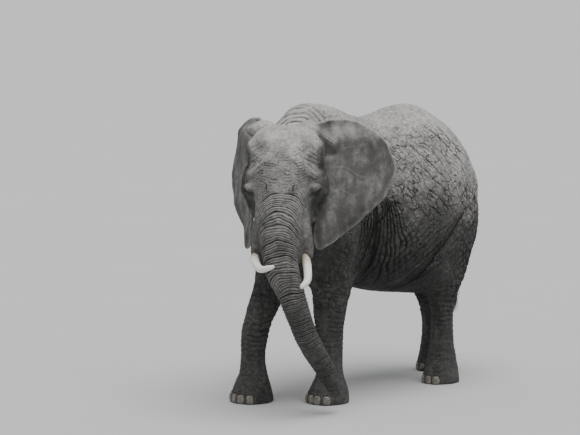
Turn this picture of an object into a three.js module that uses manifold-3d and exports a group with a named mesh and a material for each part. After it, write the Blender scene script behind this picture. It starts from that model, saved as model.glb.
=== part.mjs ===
// African savanna elephant, adult, in mid-stride, head turned to its left and trunk hanging down.
// Units are millimetres, +Z is up, the head points towards -Y and the animal's left side is +X.
// The flesh is one smooth field, blended from stacked sections and tubes. It is polygonised region by region
// and parted by thin cuts, so that neighbouring pieces meet face to face without overlapping.
import * as THREE from "three";
import { mergeVertices } from "three/addons/utils/BufferGeometryUtils.js";
import Module from "manifold-3d";

const wasm = await Module();
wasm.setup();

// ---------------------------------------------------------------- driving dimensions

const SHOULDER_HEIGHT = 2710; // ground to the top of the withers
const GAP = 0.4; // clearance that each cut leaves between two pieces
const HEAD_POSITION = new THREE.Vector3(494, -925, 2014); // midway between the eyes
const HEAD_TURN = THREE.MathUtils.degToRad(38); // to the animal's left
const HEAD_NOD = THREE.MathUtils.degToRad(8); // the muzzle swings back towards the chest

const TUSK_ROOT_RADIUS = 38;
const EYE_RADIUS = 25;
const EAR_THICKNESS = 34; // near the root
const EAR_RIM = 9; // half the thickness where the rim starts to round off
const FORE_NAILS = 4;
const HIND_NAILS = 3;

// ---------------------------------------------------------------- fields: signed distance, negative inside

// Joins two fields with a fillet of about the given radius.
function blend(a, b, radius) {
  const h = Math.max(radius - Math.abs(a - b), 0) / radius;
  return Math.min(a, b) - (h * h * radius) / 4;
}

// Smooth curves through the numbers of a list of sections, sampled finely along the stacking axis.
function sampleSections(sections, keys, step = 8) {
  const first = sections[0].at;
  const last = sections.at(-1).at;
  const count = Math.max(2, Math.ceil((last - first) / step));
  const table = Object.fromEntries(keys.map((key) => [key, new Float64Array(count + 1)]));
  for (let i = 0; i <= count; i++) {
    const at = first + ((last - first) * i) / count;
    let k = 0;
    while (k < sections.length - 2 && sections[k + 1].at < at) k++;
    const t = (at - sections[k].at) / (sections[k + 1].at - sections[k].at);
    for (const key of keys) table[key][i] = hermite(sections, key, k, t);
  }
  return { first, last, count, table };
}

// Cubic interpolation of one key between section k and the next.
function hermite(sections, key, k, t) {
  const slope = (i) => {
    const a = sections[Math.max(i - 1, 0)];
    const b = sections[Math.min(i + 1, sections.length - 1)];
    return (b[key] - a[key]) / (b.at - a.at);
  };
  const span = sections[k + 1].at - sections[k].at;
  const p0 = sections[k][key];
  const p1 = sections[k + 1][key];
  const t2 = t * t;
  const t3 = t2 * t;
  return (
    (2 * t3 - 3 * t2 + 1) * p0 +
    (t3 - 2 * t2 + t) * span * slope(k) +
    (3 * t2 - 2 * t3) * p1 +
    (t3 - t2) * span * slope(k + 1)
  );
}

// A body of superellipse sections stacked along `at`. In each section, across is the half width about
// `middle`, and low and high are the ends of the other direction, widest at `wide`.
function stack(sections, power = 2) {
  const filled = sections.map((s) => ({ middle: 0, wide: (s.low + s.high) / 2, ...s }));
  const keys = ["middle", "across", "low", "high", "wide"];
  const { first, last, count, table } = sampleSections(filled, keys);
  return (at, u, v) => {
    const clamped = Math.min(Math.max(at, first), last);
    const place = ((clamped - first) / (last - first)) * count;
    const i = Math.min(Math.floor(place), count - 1);
    const f = place - i;
    const read = (key) => table[key][i] * (1 - f) + table[key][i + 1] * f;
    const du = Math.abs(u - read("middle"));
    const dv = v - read("wide");
    const reach = Math.max(dv > 0 ? read("high") - read("wide") : read("wide") - read("low"), 1);
    const across = Math.max(read("across"), 1);
    const rho = ((du / across) ** power + (Math.abs(dv) / reach) ** power) ** (1 / power);
    const radial = Math.hypot(du, dv);
    const inSection = rho > 1e-6 ? radial * (1 - 1 / rho) : -Math.min(across, reach);
    return at === clamped ? inSection : Math.hypot(Math.max(inSection, 0), at - clamped);
  };
}

// A tube along a smooth path of {p: [x, y, z], side, depth}: side is its radius across, depth its radius
// fore and aft, where `aft` is the direction that depth is measured in.
function tube(path, aft = new THREE.Vector3(0, 1, 0), pieces = 48) {
  const curve = new THREE.CatmullRomCurve3(path.map((k) => new THREE.Vector3(...k.p)), false, "centripetal");
  const keyed = path.map((k, i) => ({ at: i, side: k.side, depth: k.depth }));
  const stations = [];
  for (let i = 0; i <= pieces; i++) {
    const t = (i / pieces) * (path.length - 1);
    const k = Math.min(Math.floor(t), path.length - 2);
    const centre = curve.getPoint(i / pieces);
    const side = hermite(keyed, "side", k, t - k);
    const depth = hermite(keyed, "depth", k, t - k);
    stations.push({ centre, side, depth });
  }
  const field = (x, y, z) => {
    let nearest = Infinity;
    let best = 0;
    let bestT = 0;
    for (let i = 0; i < pieces; i++) {
      const a = stations[i].centre;
      const b = stations[i + 1].centre;
      const dx = b.x - a.x;
      const dy = b.y - a.y;
      const dz = b.z - a.z;
      const along = (x - a.x) * dx + (y - a.y) * dy + (z - a.z) * dz;
      const t = Math.min(Math.max(along / (dx * dx + dy * dy + dz * dz), 0), 1);
      const d = Math.hypot(x - a.x - t * dx, y - a.y - t * dy, z - a.z - t * dz);
      if (d < nearest) [nearest, best, bestT] = [d, i, t];
    }
    const a = stations[best];
    const b = stations[best + 1];
    const side = a.side + (b.side - a.side) * bestT;
    const depth = a.depth + (b.depth - a.depth) * bestT;
    const off = new THREE.Vector3(x, y, z).sub(a.centre.clone().lerp(b.centre, bestT));
    const tangent = b.centre.clone().sub(a.centre).normalize();
    const back = aft.clone().addScaledVector(tangent, -aft.dot(tangent)).normalize();
    const inDepth = off.dot(back);
    const rest = Math.sqrt(Math.max(off.lengthSq() - inDepth * inDepth, 0));
    const rho = Math.hypot(inDepth / depth, rest / side);
    return rho > 1e-6 ? off.length() * (1 - 1 / rho) : -Math.min(side, depth);
  };
  return { curve, stations, field };
}

// An ellipsoid about a point, in whatever frame it is asked in.
function ellipsoid([cx, cy, cz], [rx, ry, rz]) {
  return (x, y, z) => {
    const rho = Math.hypot((x - cx) / rx, (y - cy) / ry, (z - cz) / rz);
    const radial = Math.hypot(x - cx, y - cy, z - cz);
    return rho > 1e-6 ? radial * (1 - 1 / rho) : -Math.min(rx, ry, rz);
  };
}

// ---------------------------------------------------------------- torso and legs

// Sections across the body, from the brisket to the tail.
const torsoStack = stack(
  [
    { at: -500, across: 60, low: 1560, high: 2250, wide: 1950 },
    { at: -430, across: 250, low: 1330, high: 2480, wide: 1900 },
    { at: -270, across: 365, low: 1140, high: 2670, wide: 1860 },
    { at: 0, across: 445, low: 1050, high: SHOULDER_HEIGHT, wide: 1800 },
    { at: 280, across: 520, low: 1010, high: 2622, wide: 1740 },
    { at: 577, across: 588, low: 942, high: 2552, wide: 1690 },
    { at: 915, across: 616, low: 880, high: 2608, wide: 1690 },
    { at: 1250, across: 578, low: 862, high: 2636, wide: 1720 },
    { at: 1560, across: 480, low: 985, high: 2485, wide: 1780 },
    { at: 1790, across: 385, low: 1250, high: 2235, wide: 1790 },
    { at: 1925, across: 240, low: 1480, high: 2030, wide: 1790 },
    { at: 1980, across: 60, low: 1620, high: 1900, wide: 1780 },
  ],
  2.05,
);

// Half sizes up a foreleg: across, then to the front and to the back of the leg's line.
const forelegShape = [
  { at: -60, across: 186, front: 212, back: 186 },
  { at: 60, across: 183, front: 208, back: 182 },
  { at: 170, across: 152, front: 168, back: 150 },
  { at: 290, across: 118, front: 122, back: 118 },
  { at: 460, across: 112, front: 114, back: 114 },
  { at: 667, across: 127, front: 130, back: 130 },
  { at: 890, across: 145, front: 152, back: 156 },
  { at: 1040, across: 172, front: 190, back: 200 },
  { at: 1300, across: 190, front: 240, back: 245 },
  { at: 1600, across: 185, front: 255, back: 250 },
  { at: 1900, across: 140, front: 190, back: 190 },
  { at: 2120, across: 60, front: 90, back: 90 },
];

const hindlegShape = [
  { at: -60, across: 160, front: 196, back: 176 },
  { at: 60, across: 157, front: 190, back: 172 },
  { at: 170, across: 138, front: 152, back: 150 },
  { at: 330, across: 116, front: 120, back: 122 },
  { at: 510, across: 104, front: 108, back: 106 },
  { at: 660, across: 106, front: 114, back: 107 },
  { at: 810, across: 122, front: 150, back: 128 },
  { at: 950, across: 152, front: 215, back: 164 },
  { at: 1100, across: 178, front: 270, back: 196 },
  { at: 1340, across: 205, front: 310, back: 240 },
  { at: 1600, across: 190, front: 260, back: 220 },
  { at: 1850, across: 110, front: 130, back: 110 },
];

// A leg about a line of {at, x, y} that runs from the ground up into the body.
function leg(shape, line) {
  const lineAt = (height, key) => {
    const clamped = THREE.MathUtils.clamp(height, line[0].at, line.at(-1).at);
    let k = 0;
    while (k < line.length - 2 && line[k + 1].at < clamped) k++;
    return hermite(line, key, k, (clamped - line[k].at) / (line[k + 1].at - line[k].at));
  };
  const sections = shape.map(({ at, across, front, back }) => {
    const y = lineAt(at, "y");
    return { at, middle: lineAt(at, "x"), across, low: y - front, high: y + back, wide: y };
  });
  const field = stack(sections, 2.1);
  return { foot: [line[0].x, line[0].y], field: (x, y, z) => field(z, x, y) };
}

const legs = {
  foreleg_left: leg(forelegShape, [
    { at: 0, x: 250, y: -92 },
    { at: 460, x: 252, y: -90 },
    { at: 890, x: 262, y: -98 },
    { at: 1300, x: 280, y: -70 },
    { at: 2120, x: 270, y: -60 },
  ]),
  foreleg_right: leg(forelegShape, [
    { at: 0, x: -275, y: -545 },
    { at: 460, x: -278, y: -537 },
    { at: 640, x: -280, y: -512 },
    { at: 890, x: -283, y: -380 },
    { at: 1160, x: -285, y: -205 },
    { at: 1500, x: -282, y: -115 },
    { at: 2120, x: -270, y: -60 },
  ]),
  hindleg_left: leg(hindlegShape, [
    { at: 0, x: 262, y: 1428 },
    { at: 510, x: 264, y: 1434 },
    { at: 810, x: 268, y: 1438 },
    { at: 1340, x: 280, y: 1525 },
    { at: 1850, x: 250, y: 1560 },
  ]),
  hindleg_right: leg(hindlegShape, [
    { at: 0, x: -262, y: 1930 },
    { at: 510, x: -264, y: 1885 },
    { at: 810, x: -268, y: 1800 },
    { at: 1340, x: -280, y: 1600 },
    { at: 1850, x: -250, y: 1560 },
  ]),
};

// ---------------------------------------------------------------- head, neck and trunk

const headFrame = new THREE.Matrix4().compose(
  HEAD_POSITION,
  new THREE.Quaternion().setFromEuler(new THREE.Euler(HEAD_NOD, 0, HEAD_TURN, "ZYX")),
  new THREE.Vector3(1, 1, 1),
);
const toHead = headFrame.clone().invert().elements;
const inHead = (x, y, z) => new THREE.Vector3(x, y, z).applyMatrix4(headFrame);

// The braincase, stacked upwards: low is its front and high its back.
const cranium = stack(
  [
    { at: -330, across: 170, low: 80, high: 280 },
    { at: -240, across: 262, low: 30, high: 350 },
    { at: -130, across: 312, low: -20, high: 420 },
    { at: 0, across: 348, low: -62, high: 470, wide: 175 },
    { at: 180, across: 358, low: -88, high: 505, wide: 185 },
    { at: 300, across: 342, low: -60, high: 505, wide: 205 },
    { at: 375, across: 298, low: -15, high: 480, wide: 220 },
    { at: 430, across: 228, low: 50, high: 440, wide: 235 },
    { at: 475, across: 135, low: 120, high: 380, wide: 245 },
    { at: 500, across: 50, low: 190, high: 310, wide: 250 },
  ],
  2.15,
);

// The forehead and the root of the trunk, stacked upwards.
const face = stack(
  [
    { at: -470, across: 120, low: -235, high: 0, wide: -120 },
    { at: -300, across: 145, low: -250, high: 60, wide: -100 },
    { at: -100, across: 180, low: -232, high: 120, wide: -55 },
    { at: 70, across: 226, low: -186, high: 180, wide: 0 },
    { at: 235, across: 244, low: -134, high: 235, wide: 55 },
    { at: 375, across: 210, low: -52, high: 300, wide: 130 },
    { at: 450, across: 140, low: 60, high: 330, wide: 200 },
  ],
  2.25,
);

const cheekLeft = ellipsoid([215, 170, -110], [118, 205, 235]);
const cheekRight = ellipsoid([-215, 170, -110], [118, 205, 235]);
const sheathLine = (side) =>
  tube(
    [
      { p: [side * 120, -55, -60], side: 92, depth: 105 },
      { p: [side * 165, -100, -270], side: 82, depth: 94 },
      { p: [side * 205, -145, -490], side: 64, depth: 70 },
      { p: [side * 212, -160, -560], side: 54, depth: 56 },
    ],
    new THREE.Vector3(0, 1, 0),
    10,
  );
const sheathLeft = sheathLine(1).field;
const sheathRight = sheathLine(-1).field;
function headField(x, y, z) {
  const e = toHead;
  const u = e[0] * x + e[4] * y + e[8] * z + e[12];
  const v = e[1] * x + e[5] * y + e[9] * z + e[13];
  const w = e[2] * x + e[6] * y + e[10] * z + e[14];
  let d = blend(cranium(w, u, v), face(w, u, v), 100);
  d = blend(d, Math.min(cheekLeft(u, v, w), cheekRight(u, v, w)), 110);
  return blend(d, Math.min(sheathLeft(u, v, w), sheathRight(u, v, w)), 60);
}

// The trunk from between the eyes to above the ground: side is its radius across, depth fore and aft.
const trunk = tube([
  { p: [552, -985, 2080], side: 172, depth: 118 },
  { p: [580, -1034, 1880], side: 188, depth: 150 },
  { p: [606, -1086, 1640], side: 172, depth: 160 },
  { p: [632, -1080, 1350], side: 152, depth: 146 },
  { p: [672, -1020, 1150], side: 122, depth: 122 },
  { p: [686, -912, 890], side: 104, depth: 106 },
  { p: [684, -815, 705], side: 101, depth: 100 },
  { p: [693, -721, 563], side: 98, depth: 94 },
  { p: [699, -602, 408], side: 92, depth: 84 },
  { p: [697, -519, 273], side: 76, depth: 66 },
  { p: [696, -490, 205], side: 62, depth: 52 },
]);

const neck = tube(
  [
    { p: [0, -90, 1960], side: 370, depth: 470 },
    { p: [55, -370, 2040], side: 352, depth: 465 },
    { p: [215, -610, 2070], side: 318, depth: 405 },
    { p: [355, -780, 2090], side: 285, depth: 340 },
  ],
  new THREE.Vector3(0, 0, 1),
  16,
);

const tail = tube(
  [
    { p: [0, 1850, 2030], side: 72, depth: 66 },
    { p: [-5, 1985, 1935], side: 54, depth: 50 },
    { p: [-20, 2060, 1760], side: 38, depth: 36 },
    { p: [-60, 2085, 1450], side: 27, depth: 26 },
    { p: [-110, 2075, 1150], side: 21, depth: 19 },
    { p: [-120, 2071, 1050], side: 19, depth: 16 },
  ],
  new THREE.Vector3(0, 1, 0),
  15,
);

// The outline of the hairs that hang from the last length of the tail, flat from side to side.
const tuft = tube(
  [
    { p: [-108, 2076, 1170], side: 20, depth: 22 },
    { p: [-117, 2070, 1060], side: 22, depth: 34 },
    { p: [-129, 2064, 930], side: 23, depth: 40 },
    { p: [-137, 2062, 800], side: 18, depth: 31 },
    { p: [-140, 2060, 700], side: 8, depth: 11 },
  ],
  new THREE.Vector3(0, 1, 0),
  7,
);

// All the flesh as one field, except the jaw, the ears and the tail.
function flesh(x, y, z) {
  let d = torsoStack(y, x, z);
  d = blend(d, Math.min(legs.foreleg_left.field(x, y, z), legs.foreleg_right.field(x, y, z)), 150);
  d = blend(d, Math.min(legs.hindleg_left.field(x, y, z), legs.hindleg_right.field(x, y, z)), 170);
  if (y < 300) {
    d = blend(d, neck.field(x, y, z), 260);
    const head = blend(headField(x, y, z), trunk.field(x, y, z), 60);
    d = blend(d, head, 100);
  }
  return d;
}

// ---------------------------------------------------------------- polygonising and solids

const CELL_CORNERS = [0, 1, 2, 3, 4, 5, 6, 7].map((i) => [i & 1, (i >> 1) & 1, i >> 2]);
const CELL_EDGES = [];
for (let a = 0; a < 8; a++) {
  for (const bit of [1, 2, 4]) {
    if (!(a & bit)) CELL_EDGES.push([a, a | bit]);
  }
}

// The solid of a field inside a box. The grid is shifted until no edge of the net belongs to four faces,
// which happens where two folds of the surface pass through one cell.
function polygonise(field, box, cell) {
  for (let shift = 0; shift < 1; shift += 0.1) {
    const { positions, triangles } = surfaceNet(field, box, cell, shift);
    if (isSimple(triangles)) return solid(positions, triangles);
  }
  throw new Error("every grid leaves an edge with four faces");
}

// Whether each edge of a list of triangles belongs to exactly two of them.
function isSimple(triangles) {
  const uses = new Map();
  for (let i = 0; i < triangles.length; i += 3) {
    for (const [a, b] of [[0, 1], [1, 2], [2, 0]]) {
      const [low, high] = [triangles[i + a], triangles[i + b]].sort((p, q) => p - q);
      const key = low * 1e6 + high;
      uses.set(key, (uses.get(key) ?? 0) + 1);
    }
  }
  return [...uses.values()].every((count) => count === 2);
}

// Surface nets: one vertex in each cell that the surface crosses, one quad round each crossed grid edge.
function surfaceNet(field, box, cell, shift) {
  const start = box.min.clone().subScalar((2 + shift) * cell);
  const size = box.getSize(new THREE.Vector3()).addScalar(5 * cell);
  const [nx, ny, nz] = [size.x, size.y, size.z].map((s) => Math.ceil(s / cell) + 1);
  const at = (i, j, k) => i + nx * (j + ny * k);
  const values = new Float64Array(nx * ny * nz);
  const walled = (x, y, z) => {
    const past = [box.min.x - x, x - box.max.x, box.min.y - y, y - box.max.y, box.min.z - z, z - box.max.z];
    return Math.max(field(x, y, z), ...past);
  };
  for (let k = 0; k < nz; k++) {
    for (let j = 0; j < ny; j++) {
      for (let i = 0; i < nx; i++) {
        values[at(i, j, k)] = walled(start.x + i * cell, start.y + j * cell, start.z + k * cell);
      }
    }
  }
  const positions = [];
  const vertexOf = new Map();
  for (let k = 0; k < nz - 1; k++) {
    for (let j = 0; j < ny - 1; j++) {
      for (let i = 0; i < nx - 1; i++) {
        const corner = CELL_CORNERS.map(([a, b, c]) => values[at(i + a, j + b, k + c)]);
        const inside = corner.filter((v) => v < 0).length;
        if (inside === 0 || inside === 8) continue;
        const sum = new THREE.Vector3();
        let crossings = 0;
        for (const [a, b] of CELL_EDGES) {
          if (corner[a] < 0 === corner[b] < 0) continue;
          const t = corner[a] / (corner[a] - corner[b]);
          const [p, q] = [CELL_CORNERS[a], CELL_CORNERS[b]];
          sum.x += p[0] + (q[0] - p[0]) * t;
          sum.y += p[1] + (q[1] - p[1]) * t;
          sum.z += p[2] + (q[2] - p[2]) * t;
          crossings++;
        }
        sum.divideScalar(crossings).add(new THREE.Vector3(i, j, k)).multiplyScalar(cell).add(start);
        settle(sum, walled, cell);
        vertexOf.set(at(i, j, k), positions.length / 3);
        positions.push(sum.x, sum.y, sum.z);
      }
    }
  }
  const triangles = [];
  const quad = (cells, flip) => {
    const [a, b, c, d] = cells.map((id) => vertexOf.get(id));
    const far = (p, q) => Math.hypot(...[0, 1, 2].map((n) => positions[3 * p + n] - positions[3 * q + n]));
    const halves = far(a, c) < far(b, d) ? [[a, b, c], [a, c, d]] : [[a, b, d], [b, c, d]];
    for (const [p, q, r] of halves) triangles.push(...(flip ? [p, r, q] : [p, q, r]));
  };
  for (let k = 1; k < nz - 1; k++) {
    for (let j = 1; j < ny - 1; j++) {
      for (let i = 1; i < nx - 1; i++) {
        const here = values[at(i, j, k)] < 0;
        if (here !== values[at(i + 1, j, k)] < 0)
          quad([at(i, j - 1, k - 1), at(i, j, k - 1), at(i, j, k), at(i, j - 1, k)], !here);
        if (here !== values[at(i, j + 1, k)] < 0)
          quad([at(i - 1, j, k - 1), at(i - 1, j, k), at(i, j, k), at(i, j, k - 1)], !here);
        if (here !== values[at(i, j, k + 1)] < 0)
          quad([at(i - 1, j - 1, k), at(i, j - 1, k), at(i, j, k), at(i - 1, j, k)], !here);
      }
    }
  }
  return { positions, triangles };
}

// Moves a vertex onto the surface, by at most half a cell.
function settle(p, field, cell) {
  const h = 2;
  for (let step = 0; step < 2; step++) {
    const d = field(p.x, p.y, p.z);
    const g = new THREE.Vector3(
      field(p.x + h, p.y, p.z) - field(p.x - h, p.y, p.z),
      field(p.x, p.y + h, p.z) - field(p.x, p.y - h, p.z),
      field(p.x, p.y, p.z + h) - field(p.x, p.y, p.z - h),
    ).divideScalar(2 * h);
    const length = Math.max(g.length(), 0.3);
    const move = THREE.MathUtils.clamp(-d / length, -cell / 4, cell / 4);
    p.addScaledVector(g, move / length);
  }
}

// A closed solid, ready for joining and cutting, from lists of coordinates and of corners.
function solid(positions, triangles) {
  return new wasm.Manifold(
    new wasm.Mesh({
      numProp: 3,
      vertProperties: new Float32Array(positions),
      triVerts: new Uint32Array(triangles),
    }),
  );
}

// The same from a closed geometry, placed by a matrix.
function solidOf(geometry, matrix = new THREE.Matrix4()) {
  const bare = new THREE.BufferGeometry().setAttribute("position", geometry.getAttribute("position").clone());
  bare.setIndex(geometry.index);
  const merged = mergeVertices(bare.applyMatrix4(matrix), 1e-3);
  return solid(merged.getAttribute("position").array, merged.index.array);
}

// The drawn geometry of a closed solid.
function geometryOf(made) {
  const mesh = made.getMesh();
  const geometry = new THREE.BufferGeometry();
  geometry.setAttribute("position", new THREE.BufferAttribute(mesh.vertProperties, 3));
  geometry.setIndex(new THREE.BufferAttribute(mesh.triVerts, 1));
  geometry.computeVertexNormals();
  return geometry;
}

// A box between two corners, as a solid, grown or shrunk on every side.
function block(low, high, grow = 0) {
  const size = new THREE.Vector3(...high).sub(new THREE.Vector3(...low)).addScalar(2 * grow);
  const centre = new THREE.Vector3(...low).add(new THREE.Vector3(...high)).divideScalar(2);
  const geometry = new THREE.BoxGeometry(size.x, size.y, size.z);
  return solidOf(geometry, new THREE.Matrix4().makeTranslation(centre));
}

// What lies on the side of a plane that its normal points to, less half a gap.
function beyond(made, point, normal) {
  const n = normal.clone().normalize();
  return made.trimByPlane([n.x, n.y, n.z], n.dot(point) + GAP / 2);
}

// The largest separate body of a solid.
function largest(made) {
  return made.decompose().sort((a, b) => b.volume() - a.volume())[0];
}

const boxOf = (low, high) => new THREE.Box3(new THREE.Vector3(...low), new THREE.Vector3(...high));

// ---------------------------------------------------------------- finishes

const skinTone = new THREE.MeshStandardMaterial({ color: 0x6f6f6d, roughness: 0.92, metalness: 0 });
const ivoryTone = new THREE.MeshStandardMaterial({ color: 0xd9d5c8, roughness: 0.45, metalness: 0 });
const nailTone = new THREE.MeshStandardMaterial({ color: 0x8f897c, roughness: 0.7, metalness: 0 });
const hairTone = new THREE.MeshStandardMaterial({ color: 0x2a2725, roughness: 0.8, metalness: 0 });
const eyeTone = new THREE.MeshStandardMaterial({ color: 0x1c1512, roughness: 0.15, metalness: 0 });

const elephant = new THREE.Group();
elephant.name = "elephant";

// Adds a solid to the model as a named mesh.
function add(name, made, material = skinTone) {
  const mesh = new THREE.Mesh(geometryOf(made), material);
  mesh.name = name;
  elephant.add(mesh);
  return made;
}

// ---------------------------------------------------------------- closed shapes made ring by ring

// A closed solid from rings of points, capped by a point at each end.
function ringed(rings, start, end) {
  const points = [start, ...rings.flat(), end];
  const n = rings[0].length;
  const triangles = [];
  const at = (ring, i) => 1 + ring * n + ((i + n) % n);
  for (let i = 0; i < n; i++) {
    triangles.push(0, at(0, i + 1), at(0, i));
    for (let r = 0; r < rings.length - 1; r++) {
      triangles.push(at(r, i), at(r, i + 1), at(r + 1, i + 1));
      triangles.push(at(r, i), at(r + 1, i + 1), at(r + 1, i));
    }
    triangles.push(at(rings.length - 1, i), at(rings.length - 1, i + 1), points.length - 1);
  }
  return upright(points.flatMap((p) => [p.x, p.y, p.z]), triangles);
}

// A solid whose faces look outwards, whichever way round its corners were listed.
function upright(positions, triangles) {
  let volume = 0;
  const corner = (i) => new THREE.Vector3().fromArray(positions, 3 * i);
  for (let i = 0; i < triangles.length; i += 3) {
    const [a, b, c] = [corner(triangles[i]), corner(triangles[i + 1]), corner(triangles[i + 2])];
    volume += a.dot(b.cross(c));
  }
  return solid(positions, volume > 0 ? triangles : triangles.toReversed());
}

// Rings of a tube's stations, each grown by the same amount, as a closed solid with blunt ends.
function sweep(made, around, grow = 0, aft = new THREE.Vector3(0, 1, 0)) {
  const { stations } = made;
  const last = stations.length - 1;
  const frames = stations.map((s, i) => {
    const next = stations[Math.min(i + 1, last)].centre;
    const tangent = next.clone().sub(stations[Math.max(i - 1, 0)].centre).normalize();
    const back = aft.clone().addScaledVector(tangent, -aft.dot(tangent)).normalize();
    return { ...s, tangent, back, across: new THREE.Vector3().crossVectors(back, tangent) };
  });
  const rings = frames.map(({ centre, side, depth, back, across }) =>
    Array.from({ length: around }, (_, i) => {
      const angle = (2 * Math.PI * i) / around;
      return centre
        .clone()
        .addScaledVector(across, Math.cos(angle) * (side + grow))
        .addScaledVector(back, Math.sin(angle) * (depth + grow));
    }),
  );
  const tip = (frame, way) => {
    const past = way * (frame.depth * 0.5 + grow);
    return frame.centre.clone().addScaledVector(frame.tangent, past);
  };
  return ringed(rings, tip(frames[0], -1), tip(frames[last], 1));
}

// A solid grown a little about its own middle, to cut a neighbour back to a clearance.
function loosened(made) {
  const { min, max } = made.boundingBox();
  const middle = new THREE.Vector3(...min).add(new THREE.Vector3(...max)).divideScalar(2);
  const reach = new THREE.Vector3(...max).sub(middle).length();
  const factor = 1 + (3 * GAP) / reach;
  const [x, y, z] = middle.toArray();
  return made.translate([-x, -y, -z]).scale(factor).translate([x, y, z]);
}

// ---------------------------------------------------------------- cutting planes

const neckBack = { point: new THREE.Vector3(27, -366, 1900), normal: new THREE.Vector3(0.3, -1, -0.05) };
const neckFront = {
  point: inHead(0, 350, 90),
  normal: new THREE.Vector3(0, -1, 0.3).transformDirection(headFrame),
};
const trunkStation = (share) => {
  const point = trunk.curve.getPointAt(share);
  return { point, normal: trunk.curve.getTangentAt(share) };
};
const trunkCuts = [0.37, 0.54, 0.72, 0.88].map(trunkStation);
const torsoCuts = [420, 1180];
const tuftCut = { point: new THREE.Vector3(-113, 2073, 1110), normal: new THREE.Vector3(-0.09, -0.05, -1) };

// ---------------------------------------------------------------- legs and toenails

const legCuts = {
  foreleg_left: { top: 1180, knee: 640, ankle: 190, y: [-400, 300] },
  foreleg_right: { top: 1180, knee: 640, ankle: 190, y: [-860, 300] },
  hindleg_left: { top: 1150, knee: 610, ankle: 190, y: [1185, 1900] },
  hindleg_right: { top: 1150, knee: 610, ankle: 190, y: [1185, 2260] },
};
const LEG_CELLS = { upper: 122, lower: 100, foot: 92 };

// One toenail: a flattened ball set against the front of the foot, trimmed just off the ground.
function toenail(foot, angle, reach, size) {
  const [x, y] = [foot[0] + Math.sin(angle) * reach[0], foot[1] - Math.cos(angle) * reach[1]];
  const placed = new THREE.Matrix4()
    .makeTranslation(x, y, size[2] * 0.86)
    .multiply(new THREE.Matrix4().makeRotationZ(angle))
    .multiply(new THREE.Matrix4().makeScale(...size));
  return solidOf(new THREE.SphereGeometry(1, 8, 5), placed).trimByPlane([0, 0, 1], 3);
}

const nailFan = {
  foreleg: { count: FORE_NAILS, spread: 0.46, reach: [176, 200], size: [40, 22, 46] },
  hindleg: { count: HIND_NAILS, spread: 0.5, reach: [151, 184], size: [37, 21, 44] },
};

const legBlocks = [];
for (const [name, made] of Object.entries(legs)) {
  const cuts = legCuts[name];
  const x = name.endsWith("left") ? [1, 600] : [-600, -1];
  legBlocks.push(block([x[0], cuts.y[0], -200], [x[1], cuts.y[1], cuts.top], GAP / 2));
  const lengths = [
    ["upper", cuts.knee, cuts.top],
    ["lower", cuts.ankle, cuts.knee],
    ["foot", 0, cuts.ankle],
  ];
  for (const [part, low, high] of lengths) {
    const cell = LEG_CELLS[part];
    const reach = boxOf(
      [x[0] - 3 * cell, cuts.y[0] - 3 * cell, low - 3 * cell],
      [x[1] + 3 * cell, cuts.y[1] + 3 * cell, high + 3 * cell],
    );
    const floor = low === 0 ? 0 : low + GAP / 2;
    const kept = block([x[0], cuts.y[0], floor], [x[1], cuts.y[1], high - GAP / 2]);
    const piece = largest(polygonise(flesh, reach, cell).intersect(kept));
    add(`${name}_${part}`, piece);
    if (part !== "foot") continue;
    const fan = nailFan[name.split("_")[0]];
    for (let i = 0; i < fan.count; i++) {
      const angle = (i - (fan.count - 1) / 2) * fan.spread;
      const nail = toenail(made.foot, angle, fan.reach, fan.size).subtract(loosened(piece));
      add(`${name}_nail_${i + 1}`, largest(nail), nailTone);
    }
  }
}

// ---------------------------------------------------------------- torso, neck and tail

let body = polygonise(flesh, boxOf([-1000, -900, 500], [1000, 2400, 2950]), 176);
for (const cut of legBlocks) body = body.subtract(cut);
body = beyond(body, neckBack.point, neckBack.normal.clone().negate());
const along = new THREE.Vector3(0, 1, 0);
const cutAt = (y) => new THREE.Vector3(0, y, 0);
const rump = largest(beyond(body, cutAt(torsoCuts[1]), along));
const barrel = beyond(beyond(body, cutAt(torsoCuts[0]), along), cutAt(torsoCuts[1]), along.clone().negate());
add("chest", largest(beyond(body, cutAt(torsoCuts[0]), along.clone().negate())));
add("barrel", largest(barrel));
add("rump", rump);
const dock = beyond(sweep(tail, 7), tuftCut.point, tuftCut.normal.clone().negate());
add("tail", largest(dock.subtract(loosened(rump))));
add("tail_tuft", largest(beyond(sweep(tuft, 7), tuftCut.point, tuftCut.normal)), hairTone);

let throat = polygonise(flesh, boxOf([-800, -1500, 800], [1300, 200, 2950]), 128);
for (const cut of legBlocks) throat = throat.subtract(cut);
throat = beyond(throat, neckBack.point, neckBack.normal);
throat = largest(beyond(throat, neckFront.point, neckFront.normal.clone().negate()));
add("neck", throat);

// ---------------------------------------------------------------- head, jaw, eyes and tusks

const eyeball = (side, grow = 0) =>
  solidOf(
    new THREE.SphereGeometry(EYE_RADIUS + grow, 9, 6),
    headFrame
      .clone()
      .multiply(new THREE.Matrix4().makeTranslation(side * 288, -38, 10))
      .multiply(new THREE.Matrix4().makeRotationZ(-side * 0.9)),
  );

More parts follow.
